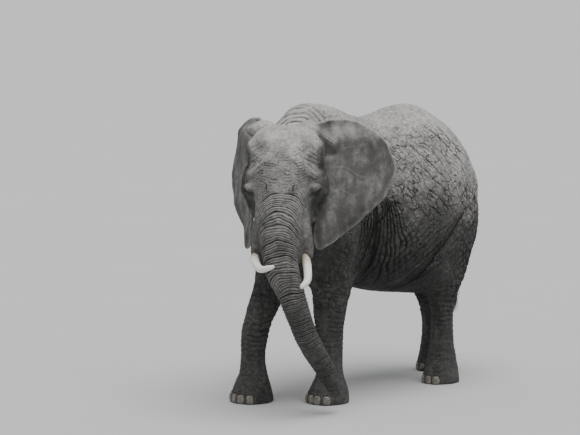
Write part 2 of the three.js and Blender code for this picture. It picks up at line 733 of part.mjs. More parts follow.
const tuskLines = {
  left: [
    { p: [688, -832, 1560], side: TUSK_ROOT_RADIUS - 4, depth: TUSK_ROOT_RADIUS - 4 },
    { p: [712, -872, 1450], side: TUSK_ROOT_RADIUS, depth: TUSK_ROOT_RADIUS },
    { p: [782, -915, 1348], side: 37, depth: 37 },
    { p: [865, -1002, 1252], side: 32, depth: 32 },
    { p: [866, -1085, 1195], side: 19, depth: 19 },
  ],
  right: [
    { p: [358, -1085, 1560], side: TUSK_ROOT_RADIUS - 4, depth: TUSK_ROOT_RADIUS - 4 },
    { p: [374, -1128, 1452], side: TUSK_ROOT_RADIUS, depth: TUSK_ROOT_RADIUS },
    { p: [450, -1219, 1398], side: 38, depth: 38 },
    { p: [599, -1296, 1352], side: 31, depth: 31 },
    { p: [766, -1299, 1390], side: 17, depth: 17 },
  ],
};
const tusks = Object.entries(tuskLines).map(([side, path]) => ({ side, line: tube(path, undefined, 9) }));

// The lower jaw, from the cheeks to the pointed lip behind the trunk.
const jaw = tube(
  [
    { p: inHead(0, 290, -200).toArray(), side: 160, depth: 150 },
    { p: inHead(0, 190, -350).toArray(), side: 128, depth: 122 },
    { p: inHead(0, 80, -475).toArray(), side: 86, depth: 80 },
    { p: inHead(0, -5, -575).toArray(), side: 44, depth: 40 },
  ],
  new THREE.Vector3(-Math.sin(HEAD_TURN), Math.cos(HEAD_TURN), 0),
  6,
);

let skull = polygonise(flesh, boxOf([-500, -1600, 1000], [1300, -100, 2850]), 74);
skull = beyond(skull, neckFront.point, neckFront.normal);
skull = beyond(skull, trunkCuts[0].point, trunkCuts[0].normal.clone().negate());
for (const side of [1, -1]) skull = skull.subtract(eyeball(side, GAP));
for (const { line } of tusks) skull = skull.subtract(sweep(line, 8, GAP));
skull = largest(skull);
const lowerJaw = largest(sweep(jaw, 10).subtract(loosened(skull)).subtract(loosened(throat)));
add("head", skull);
add("lower_jaw", lowerJaw);
add("eye_left", eyeball(1), eyeTone);
add("eye_right", eyeball(-1), eyeTone);
for (const { side, line } of tusks) add(`tusk_${side}`, sweep(line, 8), ivoryTone);

// ---------------------------------------------------------------- ears

// The ear's outline from the top of its root: outwards and upwards along its own plane.
const earOutline = new THREE.CatmullRomCurve3(
  [
    [-40, 0], [135, 44], [410, 44], [682, -98], [812, -334], [758, -580],
    [432, -868], [92, -1062], [26, -950], [90, -704], [70, -549], [-30, -260],
  ].map(([u, v]) => new THREE.Vector3(u, v, 0)),
  true,
  "centripetal",
);
const EAR_CENTRE = new THREE.Vector3(320, -420, 0);
const ears = {
  left: { side: 1, root: [195, 330, 485], heading: 57, roll: 0 },
  right: { side: -1, root: [222, 330, 440], heading: 160, roll: 9 },
};

// A bent plate that thins from its middle to its rim: `heading` is the way it points seen from above.
function ear({ side, root, heading, roll }) {
  const out = THREE.MathUtils.degToRad(heading);
  const tilt = THREE.MathUtils.degToRad(roll);
  const outward = new THREE.Vector3(Math.cos(out), Math.sin(out), 0);
  const front = new THREE.Vector3(Math.sin(out), -Math.cos(out), 0).multiplyScalar(side);
  const up = new THREE.Vector3(0, 0, 1);
  const u = outward.clone().multiplyScalar(Math.cos(tilt)).addScaledVector(up, Math.sin(tilt));
  const v = up.clone().multiplyScalar(Math.cos(tilt)).addScaledVector(outward, -Math.sin(tilt));
  const origin = inHead(side * root[0], root[1], root[2]);
  const around = 22;
  const rings = 3;
  const place = (i, k, face) => {
    const rim = earOutline.getPoint(i / around);
    const p = EAR_CENTRE.clone().lerp(rim, k / rings);
    const bend = -0.00016 * p.x * p.x + 22 * Math.sin(p.y / 150) * (p.x / 750);
    const half = k === rings ? 0 : EAR_RIM + (EAR_THICKNESS / 2 - EAR_RIM) * (1 - p.x / 800);
    return origin
      .clone()
      .addScaledVector(u, p.x)
      .addScaledVector(v, p.y)
      .addScaledVector(front, bend + face * half);
  };
  const ring = (k, face) => Array.from({ length: around }, (_, i) => place(i, k, face));
  const fronts = Array.from({ length: rings }, (_, k) => k + 1).map((k) => ring(k, 1));
  const backs = Array.from({ length: rings - 1 }, (_, k) => rings - 1 - k).map((k) => ring(k, -1));
  return ringed([...fronts, ...backs], place(0, 0, 1), place(0, 0, -1));
}
for (const [name, shape] of Object.entries(ears)) {
  let plate = ear(shape).subtract(loosened(skull)).subtract(loosened(throat));
  plate = plate.subtract(loosened(lowerJaw));
  add(`ear_${name}`, largest(plate));
}

// ---------------------------------------------------------------- trunk

const trunkNames = ["trunk_upper", "trunk_middle", "trunk_lower", "trunk_tip"];
const trunkWhole = polygonise(flesh, boxOf([200, -1500, -100], [1150, -340, 1750]), 66);
trunkNames.forEach((name, i) => {
  let length = beyond(trunkWhole, trunkCuts[i].point, trunkCuts[i].normal);
  const next = trunkCuts[i + 1];
  if (next) length = beyond(length, next.point, next.normal.clone().negate());
  add(name, largest(length));
});

// ---------------------------------------------------------------- origin under the middle of the whole

const extent = new THREE.Box3().setFromObject(elephant);
const middle = extent.getCenter(new THREE.Vector3());
elephant.position.set(-middle.x, -middle.y, -extent.min.z);

export default elephant;
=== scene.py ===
"""An adult African savanna elephant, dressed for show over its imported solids.

One hide covers the flesh. It is drawn from the solids themselves: they are joined, evened out, sculpted
and wrinkled as a whole, and then stored in lengths that share their borders, so that no seam shows.
Tusks, toenails, eyes, lashes, bristles and the tuft of the tail are pieces of their own.
"""

import logging
import math
from dataclasses import dataclass, field
from enum import Enum
from typing import Sequence

import bmesh
import bpy
import numpy as np
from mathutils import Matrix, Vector
from mathutils.bvhtree import BVHTree

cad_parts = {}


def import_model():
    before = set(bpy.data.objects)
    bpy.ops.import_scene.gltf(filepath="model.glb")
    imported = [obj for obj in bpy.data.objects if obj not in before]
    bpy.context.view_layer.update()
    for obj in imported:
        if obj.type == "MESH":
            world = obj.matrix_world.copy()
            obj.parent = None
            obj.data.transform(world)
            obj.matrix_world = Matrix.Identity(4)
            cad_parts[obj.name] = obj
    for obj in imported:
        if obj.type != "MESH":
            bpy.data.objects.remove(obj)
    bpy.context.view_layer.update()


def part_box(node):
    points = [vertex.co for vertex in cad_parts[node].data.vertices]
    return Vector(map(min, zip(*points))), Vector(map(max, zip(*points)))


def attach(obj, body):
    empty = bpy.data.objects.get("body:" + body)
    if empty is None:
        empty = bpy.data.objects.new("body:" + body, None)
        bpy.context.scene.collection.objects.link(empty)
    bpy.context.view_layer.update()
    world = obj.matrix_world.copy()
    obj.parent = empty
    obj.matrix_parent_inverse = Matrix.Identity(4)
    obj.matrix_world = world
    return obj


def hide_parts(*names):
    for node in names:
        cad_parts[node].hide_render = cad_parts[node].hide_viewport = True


log = logging.getLogger("elephant")

Array = np.ndarray
Pair = tuple[float, float]
Triple = tuple[float, float, float]
Colour = tuple[float, float, float, float]

BODY = "root"
LEG_PARTS = ("upper", "lower", "foot")
NAIL_COUNTS = {"foreleg": 4, "hindleg": 3}
UP = np.array([0.0, 0.0, 1.0])


class Slot(Enum):
    """The record's material slots."""

    SKIN = "skin"
    IVORY = "ivory"
    NAIL = "nail"
    HAIR = "hair"
    EYE = "eye"


class Side(Enum):
    """The animal's own two sides, with the sign of its X."""

    LEFT = 1
    RIGHT = -1

    @property
    def word(self) -> str:
        """The side's name as the solids are named."""
        return self.name.lower()


# ---------------------------------------------------------------- numbers over points


def ramp(values: Array, low: float, high: float) -> Array:
    """A soft ramp.

    Args:
        values: the numbers to ramp.
        low: where the ramp is 0. It may lie above high, for a falling ramp.
        high: where the ramp is 1.

    Returns:
        Numbers from 0 to 1.
    """
    t = np.clip((values - low) / (high - low), 0.0, 1.0)
    return t * t * (3.0 - 2.0 * t)


def window(values: Array, start: float, full: float, fading: float, end: float) -> Array:
    """A soft window that opens from start to full and closes from fading to end."""
    return ramp(values, start, full) * ramp(values, end, fading)


def bell(values: Array, width: float) -> Array:
    """A bell curve of the given half width about 0."""
    return np.exp(-((values / width) ** 2))


def signed_power(values: Array, power: float) -> Array:
    """A power that keeps the sign, for squared-off curves."""
    return np.sign(values) * np.abs(values) ** power


def toenail_nodes() -> list[str]:
    """The names of all toenails' solids."""
    feet = [(limb, side, count) for limb, count in NAIL_COUNTS.items() for side in Side]
    return [f"{limb}_{side.word}_nail_{n + 1}" for limb, side, count in feet for n in range(count)]


def unit(vector: Sequence[float]) -> Array:
    """A vector of length 1 along the one given."""
    made = np.asarray(vector, float)
    return made / np.linalg.norm(made)


def units(rows: Array) -> Array:
    """Rows of vectors, each brought to a length of 1."""
    return rows / np.linalg.norm(rows, axis=1, keepdims=True)


def between(keys: Sequence[Array], share: Array) -> Array:
    """A smooth curve's places between the second and third of four keys.

    Args:
        keys: four arrays of keys, one row for each place.
        share: how far each place lies from the second key to the third, from 0 to 1.

    Returns:
        One row for each place.
    """
    p0, p1, p2, p3 = keys
    square = (2 * p0 - 5 * p1 + 4 * p2 - p3) * share**2
    return 0.5 * (2 * p1 + (p2 - p0) * share + square + (3 * p1 - p0 - 3 * p2 + p3) * share**3)


def scatter(ix: Array, iy: Array, iz: Array, seed: int) -> Array:
    """Even random numbers for the corners of a lattice.

    Args:
        ix: each corner's number along X.
        iy: each corner's number along Y.
        iz: each corner's number along Z.
        seed: picks the numbers.

    Returns:
        One number from 0 to 1 for each corner.
    """
    mixed = (
        ix.astype(np.int64) * 73856093
        ^ iy.astype(np.int64) * 19349663
        ^ iz.astype(np.int64) * 83492791
        ^ seed * 2654435761
    ) & 0xFFFFFFFF
    mixed = ((mixed >> 16) ^ mixed) * 73244475 & 0xFFFFFFFF
    mixed = ((mixed >> 16) ^ mixed) * 73244475 & 0xFFFFFFFF
    return (((mixed >> 16) ^ mixed) & 0xFFFFFF) / float(0xFFFFFF)


def waves(points: Array, cell: float, seed: int) -> Array:
    """Smooth random numbers over space.

    Args:
        points: places, in metres.
        cell: the size of one swell, in metres.
        seed: picks the pattern.

    Returns:
        One number from -1 to 1 for each place.
    """
    scaled = points / cell
    base = np.floor(scaled)
    t = scaled - base
    t = t * t * t * (t * (t * 6.0 - 15.0) + 10.0)
    ix, iy, iz = base.astype(np.int64).T
    total = np.zeros(len(points))
    for dx in (0, 1):
        wx = t[:, 0] if dx else 1.0 - t[:, 0]
        for dy in (0, 1):
            wy = t[:, 1] if dy else 1.0 - t[:, 1]
            for dz in (0, 1):
                wz = t[:, 2] if dz else 1.0 - t[:, 2]
                total += wx * wy * wz * scatter(ix + dx, iy + dy, iz + dz, seed)
    return 2.0 * total - 1.0


def cobbles(points: Array, cell: float, seed: int) -> Array:
    """How far each place is from the joints of a random cobbled pattern.

    Args:
        points: places, in metres.
        cell: the size of one cobble, in metres.
        seed: picks the pattern.

    Returns:
        0 on a joint, rising to about 0.6 in the middle of a cobble.
    """
    scaled = points / cell
    base = np.floor(scaled).astype(np.int64)
    first = np.full(len(points), 9.0)
    second = np.full(len(points), 9.0)
    for dx in (-1, 0, 1):
        for dy in (-1, 0, 1):
            for dz in (-1, 0, 1):
                corner = base + (dx, dy, dz)
                away = np.zeros(len(points))
                for axis in range(3):
                    jitter = scatter(corner[:, 0], corner[:, 1], corner[:, 2], seed + axis)
                    away += (corner[:, axis] + 0.1 + 0.8 * jitter - scaled[:, axis]) ** 2
                away = np.sqrt(away)
                second = np.minimum(second, np.maximum(first, away))
                first = np.minimum(first, away)
    return second - first


def furrow(phase: Array, spacing: Array | float, width: float) -> Array:
    """Narrow grooves one whole phase apart.

    Args:
        phase: a number that grows by 1 from one groove to the next.
        spacing: the distance between grooves, in metres.
        width: half the width of a groove, in metres.

    Returns:
        1 in a groove, falling to 0 between.
    """
    off = np.abs(phase - np.round(phase)) * spacing
    return bell(off, width)


def grooves(distance: Array, gap: float, width: float) -> Array:
    """Narrow grooves across a distance: 1 in a groove, with a gap from each to the next."""
    return furrow(distance / gap, gap, width)


def forces(phase: Array, seed: int) -> Array:
    """A random number from 0 to 1 for each groove one whole phase apart, the same all along it."""
    number = np.round(phase).astype(int)
    return scatter(number, np.zeros_like(number), np.zeros_like(number), seed)


def roll(phase: Array) -> Array:
    """A rounded roll between grooves one whole phase apart: 0 at a groove, 1 half way."""
    return np.abs(np.sin(np.pi * phase)) ** 0.7


# ---------------------------------------------------------------- meshes as arrays


def column(items: bpy.types.bpy_prop_collection, name: str, width: int, kind: type = np.float32) -> Array:
    """Reads one property of every item of a Blender collection.

    Args:
        items: such as a mesh's vertices.
        name: the property's name.
        width: how many numbers it has.
        kind: their type.

    Returns:
        An array with one row for each item.
    """
    out = np.empty(len(items) * width, kind)
    items.foreach_get(name, out)
    return out.reshape(-1, width)


def mesh_of(name: str, points: Array, faces: Sequence[Array]) -> bpy.types.Mesh:
    """A mesh from arrays.

    Args:
        name: its name.
        points: one row for each vertex, in metres.
        faces: arrays of corner numbers, each with faces of one size, one row for each face.

    Returns:
        The mesh, with its edges worked out and every face smooth.
    """
    mesh = bpy.data.meshes.new(name)
    corners = np.concatenate([f.ravel() for f in faces]).astype(np.int32)
    totals = np.concatenate([np.full(len(f), f.shape[1]) for f in faces]).astype(np.int32)
    starts = np.concatenate([[0], np.cumsum(totals)[:-1]]).astype(np.int32)
    mesh.vertices.add(len(points))
    mesh.vertices.foreach_set("co", points.astype(np.float32).ravel())
    mesh.loops.add(len(corners))
    mesh.loops.foreach_set("vertex_index", corners)
    mesh.polygons.add(len(totals))
    mesh.polygons.foreach_set("loop_start", starts)
    mesh.update(calc_edges=True)
    mesh.validate()
    mesh.shade_smooth()
    return mesh


def shown(name: str, mesh: bpy.types.Mesh) -> bpy.types.Object:
    """Puts a mesh in the scene.

    Args:
        name: the object's name.
        mesh: its mesh, with its place in it.

    Returns:
        The object, at the origin.
    """
    obj = bpy.data.objects.new(name, mesh)
    bpy.context.scene.collection.objects.link(obj)
    return obj


def finished(
    piece: bpy.types.Object, finish: bpy.types.Material, slot: Slot, *nodes: str
) -> bpy.types.Object:
    """Dresses a piece, hangs it from the body and hides the solids that it stands for.

    Args:
        piece: the object, already in place.
        finish: its material.
        slot: not used.
        nodes: the solids that it stands for.

    Returns:
        The same object.
    """
    if finish.name not in piece.data.materials:
        piece.data.materials.append(finish)
    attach(piece, BODY)
    if nodes:
        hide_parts(*nodes)
    log.info("%s: %d faces", piece.name, len(piece.data.polygons))
    return piece


def grid_faces(rows: int, columns: int) -> Array:
    """The quads of a tube.

    Args:
        rows: how many rings it has.
        columns: how many points a ring has.

    Returns:
        One row of four point numbers for each quad.
    """
    i, j = np.meshgrid(np.arange(rows - 1), np.arange(columns), indexing="ij")
    after = (j + 1) % columns
    low, high = i * columns, (i + 1) * columns
    return np.stack([low + j, low + after, high + after, high + j], -1).reshape(-1, 4)


def fan_faces(ring: int, columns: int, tip: int, flip: bool) -> Array:
    """The triangles that close a ring.

    Args:
        ring: the number of the ring's first point.
        columns: how many points it has.
        tip: the number of the point that they meet in.
        flip: whether they turn the other way.

    Returns:
        One row of three point numbers for each triangle.
    """
    j = np.arange(columns)
    after = (j + 1) % columns
    pair = (ring + after, ring + j) if flip else (ring + j, ring + after)
    return np.stack([pair[0], pair[1], np.full(columns, tip)], -1)


def closed_faces(rows: int, columns: int) -> list[Array]:
    """The faces of a tube closed by two last points, the first of them at its start.

    Args:
        rows: how many rings it has.
        columns: how many points a ring has.

    Returns:
        Its quads and the triangles of its two ends.
    """
    count = rows * columns
    ends = [fan_faces(0, columns, count, True), fan_faces(count - columns, columns, count + 1, False)]
    return [grid_faces(rows, columns), *ends]


def in_triangles(quads: Array, fans: Sequence[Array]) -> Array:
    """Quads cut in two, followed by the triangles of their fans."""
    return np.vstack([quads[:, [0, 1, 2]], quads[:, [0, 2, 3]], *fans])


def spokes(turn: Array, first: Array, second: Array) -> Array:
    """Directions round a wheel.

    Args:
        turn: each spoke's angle from the first direction, in radians.
        first: the direction at 0, or one for each of several wheels.
        second: the direction a quarter turn on, likewise.

    Returns:
        A vector for each wheel and each spoke.
    """
    return np.cos(turn)[None, :, None] * first + np.sin(turn)[None, :, None] * second


def set_values(mesh: bpy.types.Mesh, name: str, values: Array) -> None:
    """Stores values at a mesh's vertices, where materials read them.

    Args:
        mesh: the mesh.
        name: what the values are called.
        values: one number, or one vector, for each vertex.
    """
    kind, key = ("FLOAT", "value") if values.ndim == 1 else ("FLOAT_VECTOR", "vector")
    made = mesh.attributes.new(name, kind, "POINT")
    made.data.foreach_set(key, values.astype(np.float32).ravel())


class Net:
    """A mesh held as arrays, with means over neighbouring points."""

    def __init__(self, mesh: bpy.types.Mesh) -> None:
        """Reads the mesh.

        Args:
            mesh: the mesh to hold. It is kept up to date when normals are asked for.
        """
        self.mesh = mesh
        self.points = column(mesh.vertices, "co", 3).astype(float)
        self.edges = column(mesh.edges, "vertices", 2, np.int32)
        self.degree = np.maximum(np.bincount(self.edges.ravel(), minlength=len(self.points)), 1)

    def normals(self) -> Array:
        """Brings the mesh up to date.

        Returns:
            The outward direction at each point.
        """
        self.mesh.vertices.foreach_set("co", self.points.astype(np.float32).ravel())
        self.mesh.update()
        return column(self.mesh.vertex_normals, "vector", 3).astype(float)

    def mean(self, values: Array) -> Array:
        """The mean of each point's neighbours.

        Args:
            values: one number or one vector for each point.

        Returns:
            The means, in the same form.
        """
        if values.ndim > 1:
            return np.stack([self.mean(values[:, k]) for k in range(values.shape[1])], -1)
        a, b = self.edges.T
        total = np.bincount(a, values[b], len(values)) + np.bincount(b, values[a], len(values))
        return total / self.degree

    def relaxed(self, values: Array, rounds: int, share: float) -> Array:
        """Feathers values.

        Args:
            values: one number or one vector for each point.
            rounds: how often they are moved towards their neighbours' mean.
            share: how far they are moved each time, from 0 to 1.

        Returns:
            The feathered values.
        """
        for _ in range(rounds):
            values = values + share * (self.mean(values) - values)
        return values

    def eased(self, middle: Array, reach: float, rounds: int) -> None:
        """Melts the forms near a place into each other.

        Args:
            middle: the place.
            reach: how far from it the net is moved, in metres.
            rounds: how many times each point is moved halfway to its neighbours' mean.
        """
        away = np.linalg.norm(self.points - middle, axis=1)
        inside = away < reach
        number = np.cumsum(inside) - 1
        a, b = number[self.edges[inside[self.edges].all(1)]].T
        here = self.points[inside]
        count = len(here)
        degree = np.maximum(np.bincount(a, minlength=count) + np.bincount(b, minlength=count), 1)[:, None]
        weight = 0.5 * ramp(away[inside], reach * 0.95, reach * 0.60)[:, None]
        for _ in range(rounds):
            total = [np.bincount(a, here[b, k], count) + np.bincount(b, here[a, k], count) for k in range(3)]
            here = here + weight * (np.stack(total, -1) / degree - here)
        self.points[inside] = here

    def polish(self, rounds: int, weight: Array) -> None:
        """Frees the net of ripples shorter than a few edges, and keeps its longer swells.

        Args:
            rounds: how often it is evened out and swelled back.
            weight: how much each point takes part, from 0 to 1.
        """
        for _ in range(rounds):
            for share in (0.55, -0.57):
                self.points = self.points + share * (self.mean(self.points) - self.points) * weight[:, None]


class Patches:
    """The points of a net gathered into patches that face the same way, for slow, wide changes."""

    def __init__(self, net: Net, cell: float) -> None:
        """Gathers the points.

        Args:
            net: the net to gather.
            cell: the size of a patch, in metres.
        """
        normals = net.normals()
        axis = np.abs(normals).argmax(1)
        facing = 2 * axis + (np.take_along_axis(normals, axis[:, None], 1)[:, 0] > 0)
        spot = np.floor(net.points / cell).astype(np.int64) + 4096
        key = ((spot[:, 0] * 8192 + spot[:, 1]) * 8192 + spot[:, 2]) * 6 + facing
        _, self.home = np.unique(key, return_inverse=True)
        self.net = net
        self.count = np.bincount(self.home).astype(float)
        pairs = np.sort(self.home[net.edges], axis=1)
        pairs = pairs[pairs[:, 0] != pairs[:, 1]]
        self.pairs = np.unique(pairs, axis=0)
        self.degree = np.maximum(np.bincount(self.pairs.ravel(), minlength=len(self.count)), 1)

    def gathered(self, values: Array) -> Array:
        """The mean of each patch's points.

        Args:
            values: one number or one vector for each point.

        Returns:
            One number or vector for each patch.
        """
        if values.ndim > 1:
            return np.stack([self.gathered(values[:, k]) for k in range(values.shape[1])], -1)
        return np.bincount(self.home, values, len(self.count)) / self.count

    def mean(self, values: Array) -> Array:
        """The mean of each patch's neighbours.

        Args:
            values: one number or one vector for each patch.

        Returns:
            The means, in the same form.
        """
        if values.ndim > 1:
            return np.stack([self.mean(values[:, k]) for k in range(values.shape[1])], -1)
        a, b = self.pairs.T
        size = len(self.count)
        return (np.bincount(a, values[b], size) + np.bincount(b, values[a], size)) / self.degree

    def spread(self, values: Array, rounds: int) -> Array:
        """Feathers values over a wide border.

        Args:
            values: one number or one vector for each point.
            rounds: the border's width in patches, squared.

        Returns:
            The feathered values of the points.
        """
        wide = self.gathered(values)
        for _ in range(rounds):
            wide = wide + 0.6 * (self.mean(wide) - wide)
        return self.net.relaxed(wide[self.home], 6, 0.6)

    def evened(self, weight: Array, rounds: int) -> None:
        """Moves the net's points along their normals until facets a few patches wide are gone.

        Args:
            weight: how much each point takes part, from 0 to 1.
            rounds: more rounds remove wider facets.
        """
        start = self.gathered(self.net.points)
        pull = self.gathered(weight)[:, None]
        places = start
        for _ in range(rounds):
            for share in (0.6, -0.615):
                places = places + share * pull * (self.mean(places) - places)
        shift = self.net.relaxed((places - start)[self.home], 10, 0.6)
        normals = self.net.normals()
        self.net.points += normals * (shift * normals).sum(1, keepdims=True) * weight[:, None]


def refine(
    points: Array, quads: Array, chosen: Array, carried: Array
) -> tuple[Array, Array, list[Array], Array, Array]:
    """Splits some quads of a mesh in four. Their neighbours gain the corners that keep the mesh closed.

    Args:
        points: one row for each vertex.
        quads: one row of four vertex numbers for each face.
        chosen: True for each quad to split.
        carried: values at the vertices, which the new vertices take the mean of.

    Returns:
        The points, the quads, the faces with more corners, the number of the old quad behind each new
        face in that order, and the carried values.
    """
    count = len(points)
    after = np.roll(quads, -1, axis=1)
    key = np.minimum(quads, after).astype(np.int64) * count + np.maximum(quads, after)
    edges, place = np.unique(key, return_inverse=True)
    place = place.reshape(-1, 4)
    used = np.zeros(len(edges), bool)
    used[place[chosen].ravel()] = True
    number = np.full(len(edges), -1, np.int64)
    number[used] = count + np.arange(used.sum())
    ends = np.stack([edges // count, edges % count], 1)[used]
    split = quads[chosen]
    middle = count + used.sum() + np.arange(len(split))
    points = np.concatenate([points, points[ends].mean(1), points[split].mean(1)])
    carried = np.concatenate([carried, carried[ends].mean(1), carried[split].mean(1)])
    half = number[place[chosen]]
    v, m, c = split.T, half.T, middle
    parts = [(v[0], m[0], c, m[3]), (m[0], v[1], m[1], c), (c, m[1], v[2], m[2]), (m[3], c, m[2], v[3])]
    fresh = np.concatenate([np.stack(p, -1) for p in parts])
    touched = ~chosen & (number[place] >= 0).any(1)
    plain = ~chosen & ~touched
    by_size: dict[int, list[list[int]]] = {}
    origins: dict[int, list[int]] = {}
    for face in np.flatnonzero(touched):
        corners: list[int] = []
        for k in range(4):
            corners.append(int(quads[face, k]))
            if number[place[face, k]] >= 0:
                corners.append(int(number[place[face, k]]))
        by_size.setdefault(len(corners), []).append(corners)
        origins.setdefault(len(corners), []).append(int(face))
    wide = [np.array(by_size[size]) for size in sorted(by_size)]
    behind = [np.flatnonzero(plain), np.tile(np.flatnonzero(chosen), 4)]
    behind += [np.array(origins[size]) for size in sorted(origins)]
    return points, np.concatenate([quads[plain], fresh]), wide, np.concatenate(behind), carried


# ---------------------------------------------------------------- lines and frames of the body


def box_of(node: str) -> tuple[Array, Array]:
    """A solid's lowest and highest corners."""
    low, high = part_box(node)
    return np.array(low), np.array(high)


def eye_middle(side: Side) -> Array:
    """The middle of an eye."""
    low, high = box_of(f"eye_{side.word}")
    return (low + high) / 2


@dataclass(frozen=True)
class HeadFrame:
    """The head's own frame: X to its left, Y to its back, Z to its crown, from between the eyes."""

    turn: float = math.radians(38.0)
    nod: float = math.radians(8.0)
    eye_back: float = 0.038
    eye_drop: float = 0.010
    origin: Array = field(default_factory=lambda: np.zeros(3))

    @staticmethod
    def from_eyes() -> "HeadFrame":
        """Reads the frame from the solids of the two eyes.

        Returns:
            The head's frame in its place.
        """
        left, right = (eye_middle(side) for side in Side)
        bare = HeadFrame()
        shift = bare.axes() @ np.array([0.0, -bare.eye_back, bare.eye_drop])
        return HeadFrame(origin=(left + right) / 2 - shift)

    def axes(self) -> Array:
        """Works out the way that the head faces.

        Returns:
            The frame's axes as the columns of a matrix.
        """
        c, s = math.cos(self.turn), math.sin(self.turn)
        cn, sn = math.cos(self.nod), math.sin(self.nod)
        return np.array([[c, -s, 0], [s, c, 0], [0, 0, 1]]) @ np.array([[1, 0, 0], [0, cn, -sn], [0, sn, cn]])

    def local(self, points: Array) -> Array:
        """Places in the head's frame."""
        return (points - self.origin) @ self.axes()

    def place(self, x: float, y: float, z: float) -> Array:
        """The whole model's place of a place in the head's frame."""
        return self.origin + self.axes() @ np.array([x, y, z])

    def way(self, x: float, y: float, z: float) -> Array:
        """The whole model's direction of a direction in the head's frame."""
        return self.axes() @ unit((x, y, z))


class Course:
    """A smooth line through stations, each with a radius across and a radius fore and aft."""

    def __init__(self, stations: Sequence[Sequence[float]], front: Sequence[float], count: int = 160) -> None:
        """Draws the line.

        Args:
            stations: rows of x, y, z, radius across and radius fore and aft, in metres.
            front: the way that the line's front faces.
            count: how many steps the line is drawn in.
        """
        keys = np.array(stations, float)
        padded = np.vstack([2 * keys[0] - keys[1], keys, 2 * keys[-1] - keys[-2]])
        t = np.linspace(0, len(keys) - 1, count)
        k = np.minimum(t.astype(int), len(keys) - 2)
        f = (t - k)[:, None]
        self.rows = between([padded[k + i] for i in range(4)], f)
        self.middle = self.rows[:, :3]
        self.along = units(np.gradient(self.middle, axis=0))
        ahead = np.asarray(front, float)
        self.front = units(ahead - self.along * (self.along @ ahead)[:, None])
        self.left = np.cross(self.along, self.front)
        steps = np.linalg.norm(np.diff(self.middle, axis=0), axis=1)
        self.reach = np.concatenate([[0], np.cumsum(steps)])

    def project(self, points: Array) -> tuple[Array, Array, Array, Array]:
        """Where points lie by the line.

        Args:
            points: places near the line.

        Returns:
            The distance along the line, the offsets to its front and to its left, and the offset's
            length as a share of the radius there.
        """
        best = np.full(len(points), np.inf)
        index = np.zeros(len(points), int)
        for i, centre in enumerate(self.middle):
            away = ((points - centre) ** 2).sum(1)
            nearer = away < best
            best[nearer] = away[nearer]
            index[nearer] = i
        off = points - self.middle[index]
        along = (off * self.along[index]).sum(1)
        ahead = (off * self.front[index]).sum(1)
        across = (off * self.left[index]).sum(1)
        share = np.hypot(ahead / self.rows[index, 4], across / self.rows[index, 3])
        return self.reach[index] + along, ahead, across, share


# ---------------------------------------------------------------- shader nodes


class Signal:
    """A socket's value, which Python's operators work on by adding Math nodes."""

    def __init__(self, shade: "Shade", socket: bpy.types.NodeSocket) -> None:
        """Keeps the socket.

        Args:
            shade: the material under construction.
            socket: the output socket that carries the value.
        """
        self.shade = shade
        self.socket = socket

    def _with(self, operation: str, first: "Signal | float", second: "Signal | float") -> "Signal":
        """The result of a Math node's operation on two values."""
        made = self.shade.node("ShaderNodeMath", {"operation": operation}, {0: first, 1: second})
        return Signal(self.shade, made.outputs[0])

    def __add__(self, other: "Signal | float") -> "Signal":
        """The sum."""
        return self._with("ADD", self, other)

    __radd__ = __add__

    def __sub__(self, other: "Signal | float") -> "Signal":
        """The difference."""
        return self._with("SUBTRACT", self, other)

    def __rsub__(self, other: float) -> "Signal":
        """The difference from a number."""
        return self._with("SUBTRACT", other, self)

    def __mul__(self, other: "Signal | float") -> "Signal":
        """The product."""
        return self._with("MULTIPLY", self, other)

    __rmul__ = __mul__

    def ramp(self, low: float, high: float) -> "Signal":
        """A soft ramp.

        Args:
            low: the value where the ramp is 0.
            high: the value where it is 1.

        Returns:
            The ramp's value.
        """
        settings = {"interpolation_type": "SMOOTHSTEP", "clamp": True}
        inputs = {"Value": self, "From Min": low, "From Max": high, "To Min": 0.0, "To Max": 1.0}
        made = self.shade.node("ShaderNodeMapRange", settings, inputs)
        return Signal(self.shade, made.outputs["Result"])


